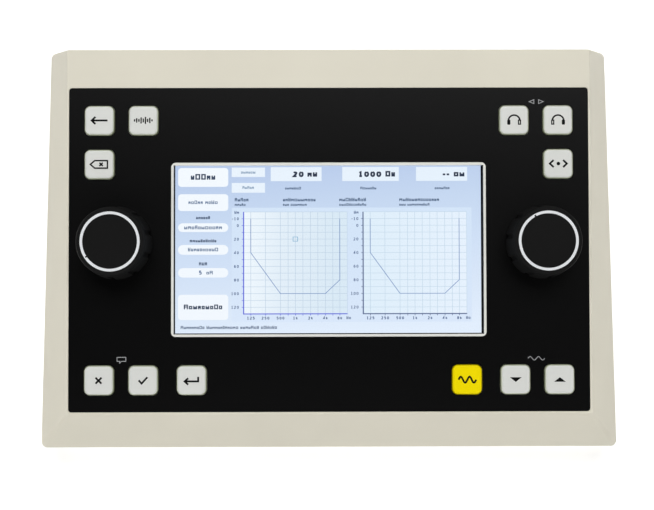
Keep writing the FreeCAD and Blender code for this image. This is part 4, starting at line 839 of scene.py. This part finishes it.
def chart_field(side, axis, shades):
    """The chart's paler field."""
    field = Picture("chart_field_" + side, 3)
    field.bar(axis, CHART_TOP, axis + CHART_WIDTH, CHART_FOOT)
    field.finish(lit("picture_chart_" + side, *linear(shades), direction=RIGHTWARDS,
                     reach_mm=PICTURE_WIDTH))


def chart_grid(side, axis, shade):
    """Lines at each pitch and each ten decibels, and the chart's right edge."""
    grid = Picture("chart_grid_" + side, 4)
    for place in PITCH_PLACES.values():
        grid.bar(axis + place - GRID_HALF, CHART_TOP, axis + place + GRID_HALF, CHART_FOOT)
    for decibels in range(-20, 130, 10):
        y = level_place(decibels)
        grid.bar(axis, y - GRID_HALF, axis + CHART_WIDTH, y + GRID_HALF)
    grid.bar(axis + CHART_WIDTH - 1, CHART_TOP, axis + CHART_WIDTH, CHART_FOOT)
    grid.finish(plain("picture_grid_" + side, shade))


def chart_axes(side, axis, shade):
    """Both axes with their ticks."""
    axes = Picture("chart_axes_" + side, 5)
    axes.bar(axis - AXIS_HALF, CHART_TOP, axis + AXIS_HALF, CHART_FOOT + AXIS_HALF)
    axes.bar(axis - AXIS_HALF, CHART_FOOT - AXIS_HALF, axis + CHART_WIDTH, CHART_FOOT + AXIS_HALF)
    for decibels in range(-10, 130, 10):
        y = level_place(decibels)
        axes.bar(axis - TICK_REACH, y - TICK_HALF, axis, y + TICK_HALF)
    for place in PITCH_PLACES.values():
        axes.bar(axis + place - TICK_HALF, CHART_FOOT, axis + place + TICK_HALF, CHART_FOOT + TICK_REACH)
    axes.finish(plain("picture_axes_" + side, shade))


def chart_numbers(side, axis):
    """The numbers along both axes, and blocks where their units are named."""
    numbers = Picture("chart_numbers_" + side, 5)
    for decibels in NAMED_LEVELS:
        numbers.digits(str(decibels), axis - SCALE_GAP, level_place(decibels), SCALE_HEIGHT, LEVEL_WEIGHT,
                       "RIGHT")
    for pitch, name in PITCH_NAMES.items():
        numbers.digits(name, axis + PITCH_PLACES[pitch], PITCH_ROW, SCALE_HEIGHT, PITCH_WEIGHT)
    numbers.words(axis - SCALE_GAP, LEVEL_UNIT_ROW, UNIT_HEIGHT, (2,), 10, "RIGHT")
    numbers.words(axis + PITCH_UNIT, PITCH_ROW, UNIT_HEIGHT, (2,), 11, "LEFT")
    numbers.finish(plain("picture_scale_" + side, SCALE_SHADE))


def chart_limit(side, axis):
    """The line round the levels that the unit can give."""
    limit = Picture("chart_limit_" + side, 6)
    corners = [(axis + PITCH_PLACES[pitch], level_place(decibels)) for pitch, decibels in LIMIT]
    limit.line(corners, LIMIT_STROKE)
    limit.finish(plain("picture_limit_" + side, LIMIT_SHADE))


def cursor():
    """The small square that marks the tone on the left chart."""
    mark = Picture("cursor", 7)
    x = LEFT_AXIS + PITCH_PLACES[CURSOR_PITCH]
    y = level_place(CURSOR_LEVEL)
    left, right, top, foot = x - CURSOR_REACH, x + CURSOR_REACH, y - CURSOR_REACH, y + CURSOR_REACH
    mark.line([(left, top), (right, top), (right, foot), (left, foot)], CURSOR_STROKE, True)
    mark.finish(plain("picture_cursor", CURSOR_SHADE))


def picture():
    """Everything that the display shows."""
    picture_ground()
    menu()
    captions()
    readouts()
    chart("left", LEFT_AXIS, LEFT_CHART_SHADES, LEFT_GRID_SHADE, LEFT_AXIS_SHADE)
    chart("right", RIGHT_AXIS, RIGHT_CHART_SHADES, RIGHT_GRID_SHADE, RIGHT_AXIS_SHADE)
    cursor()


# ================================ legends ================================

def legend_back(mark):
    """An arrow to the left."""
    mark.line([(4.2, 0), (-3.4, 0)], LEGEND_STROKE)
    mark.line([(-1.9, 1.8), (-3.8, 0), (-1.9, -1.8)], LEGEND_STROKE)


def legend_mask(mark):
    """A band of noise."""
    for index, height in enumerate((1.2, 2.3, 1.6, 3.2, 2.0, 3.6, 1.7, 2.8, 1.1)):
        middle = (index - 4) * 1.1
        mark.bar(middle - 0.35, -height / 2, middle + 0.35, height / 2, 0.25)


def legend_delete(mark):
    """A rubbing-out key's tab with a cross in it."""
    mark.line([(-4.4, 0), (-2.2, 1.9), (4.2, 1.9), (4.2, -1.9), (-2.2, -1.9)], TAB_STROKE, True)
    cross(mark, 1.0, 0.0, 0.85, TAB_STROKE)


def cross(mark, x, y, reach, width):
    """A diagonal cross."""
    for slope in (1, -1):
        mark.line([(x - reach, y - reach * slope), (x + reach, y + reach * slope)], width)


def headset(mark, full):
    """A headset whose left (-1) or right (1) cup is filled."""
    mark.line(arc((0, -0.5), 2.9, 0, 180, 20), HEADBAND_STROKE)
    for side in (-1, 1):
        inner, outer = sorted((side * 1.9, side * 3.5))
        if side == full:
            mark.bar(inner, -2.5, outer, 0.1, 0.5)
        else:
            mark.line([(inner + 0.3, -2.2), (outer - 0.3, -2.2), (outer - 0.3, -0.2),
                       (inner + 0.3, -0.2)], CUP_STROKE, True)


def legend_left_ear(mark):
    """A headset with its left cup filled."""
    headset(mark, -1)


def legend_right_ear(mark):
    """A headset with its right cup filled."""
    headset(mark, 1)


def legend_bone(mark):
    """Two facing brackets with a dot between them, as charts mark bone conduction."""
    for side in (-1, 1):
        mark.line([(side * 2.4, 1.8), (side * 4.3, 0), (side * 2.4, -1.8)], LEGEND_STROKE)
    mark.disc((0, 0), 0.9)


def legend_no(mark):
    """A diagonal cross."""
    cross(mark, 0, 0, 1.5, LEGEND_STROKE)


def legend_yes(mark):
    """A tick."""
    mark.line([(-2.1, 0.1), (-0.6, -1.5), (2.3, 1.7)], LEGEND_STROKE)


def legend_enter(mark):
    """A return arrow."""
    mark.line([(3.4, 1.8), (3.4, -0.5), (-3.0, -0.5)], LEGEND_STROKE)
    mark.line([(-1.6, 1.1), (-3.4, -0.5), (-1.6, -2.1)], LEGEND_STROKE)


def tone(mark, reach, height, width):
    """Two periods of a pure tone."""
    steps = range(-16, 17)
    mark.line([(step / 16 * reach, height * math.sin(step / 16 * math.tau)) for step in steps], width)


def legend_signal(mark):
    """A pure tone."""
    tone(mark, 4.4, 1.5, LEGEND_STROKE)


def legend_down(mark):
    """A flat triangle that points down."""
    mark.polygon([(-2.95, 1.15), (2.95, 1.15), (0, -1.15)])


def legend_up(mark):
    """A flat triangle that points up."""
    mark.polygon([(-2.95, -1.15), (2.95, -1.15), (0, 1.15)])


LEGENDS = {"key_back": legend_back, "key_mask": legend_mask, "key_delete": legend_delete,
           "key_left_ear": legend_left_ear, "key_right_ear": legend_right_ear, "key_bone": legend_bone,
           "key_no": legend_no, "key_yes": legend_yes, "key_enter": legend_enter,
           "key_signal": legend_signal, "key_down": legend_down, "key_up": legend_up}


def key_legends():
    """A black mark on every key, moving with it."""
    black = ink("legend_black", srgb(10, 10, 10), 0.7, 0.1)
    for key, draw in LEGENDS.items():
        mark = Print("legend_" + key[4:], on_top_of(key) @ Matrix.Translation((0, 0, INK_THICK * MM)))
        draw(mark)
        mark.make(black, key, "component_black")


def group_marks():
    """Three pale marks on the front sheet above the groups of keys."""
    pale = ink("sheet_mark_pale", srgb(176, 178, 180))
    channel = Print("mark_channel", on_panel(*CHANNEL_PLACE, INK_THICK))
    for side in (-1, 1):
        channel.line([(side * 1.2, 1.0), (side * 1.2, -1.0), (side * 3.6, 0)], THIN_STROKE, True)
    answer = Print("mark_answer", on_panel(*ANSWER_PLACE, INK_THICK))
    answer.line([(-2.2, 1.3), (2.2, 1.3), (2.2, -0.7), (0, -0.7), (-0.9, -1.6), (-0.9, -0.7), (-2.2, -0.7)],
                THIN_STROKE, True)
    pitch = Print("mark_pitch", on_panel(*TONE_PLACE, INK_THICK))
    tone(pitch, 4.2, 0.9, THIN_STROKE)
    for mark in (channel, answer, pitch):
        mark.make(pale, "housing", "sheet_black")


# ================================ stage ================================

def make_camera():
    """The camera, square to the panel and a little in front of its middle."""
    camera = bpy.data.cameras.new("camera")
    camera.lens = LENS
    camera.sensor_width = SENSOR
    camera.clip_start = 0.01
    holder = bpy.data.objects.new("camera", camera)
    holder.matrix_world = on_panel(*CAMERA_PLACE) @ Euler(CAMERA_TURN).to_matrix().to_4x4()
    bpy.context.scene.collection.objects.link(holder)
    bpy.context.scene.camera = holder


def softbox(name, place, size, power):
    """A square area light that faces the middle of the panel."""
    light = bpy.data.lights.new(name, "AREA")
    light.shape = "RECTANGLE"
    light.size, light.size_y = size
    light.energy = power
    holder = bpy.data.objects.new(name, light)
    target = PANEL.translation
    holder.location = target + Vector(place)
    holder.rotation_euler = (target - holder.location).to_track_quat("-Z", "Y").to_euler()
    bpy.context.scene.collection.objects.link(holder)


def make_lights():
    """Soft boxes round the unit, none of them where the black sheet would mirror it to the camera."""
    for name, (place, size, power) in SOFTBOXES.items():
        softbox(name, place, size, power)


def make_world():
    """Soft surroundings: white at the horizon, fading through a pale sky to a dark zenith."""
    world = bpy.data.worlds.new("studio")
    world.use_nodes = True
    tree = world.node_tree
    direction = node(tree, "TexCoord").outputs["Generated"]
    rise = node(tree, "SeparateXYZ", {"Vector": direction}).outputs["Z"]
    sky = ramp(tree, rise, (0.0, (1, 1, 1, 1)), (SKY_START, scaled((1, 1, 1), SKY_LIGHT)),
               (SKY_END, (0, 0, 0, 1)))
    tree.links.new(sky, tree.nodes["Background"].inputs["Color"])
    bpy.context.scene.world = world


def make_floor():
    """A pale floor that is bright enough to stay white, also beyond the reach of the soft boxes."""
    made, tree, shader = new_finish("floor_white", Roughness=0.8, Emission_Color=(1, 1, 1, 1))
    away = node(tree, "VectorMath", {0: node(tree, "TexCoord").outputs["Object"]}, operation="LENGTH")
    glow = mapped(tree, away.outputs["Value"], NEAR_FLOOR_GLOW, FAR_FLOOR_GLOW, NEAR_FLOOR, FAR_FLOOR)
    tree.links.new(glow, shader.inputs["Emission Strength"])
    clouds = noise(tree, FLOOR_CLOUDS)
    tree.links.new(ramp(tree, clouds, (NOISE_LOW, FLOOR_DARKER), (NOISE_HIGH, FLOOR_LIGHTER)),
                   shader.inputs["Base Color"])
    half = FLOOR_SIZE / 2
    data = bpy.data.meshes.new("floor")
    corners = [(-half, -half, 0), (half, -half, 0), (half, half, 0), (-half, half, 0)]
    data.from_pydata(corners, [], [(0, 1, 2, 3)])
    data.materials.append(made)
    floor = bpy.data.objects.new("floor", data)
    floor.location.z = CAD_BOX[0].z - FLOOR_DROP
    bpy.context.scene.collection.objects.link(floor)


bpy.context.scene.view_settings.view_transform = "Standard"
make_camera()
make_world()
make_lights()
make_floor()
paint_solids()
picture()
key_legends()
group_marks()
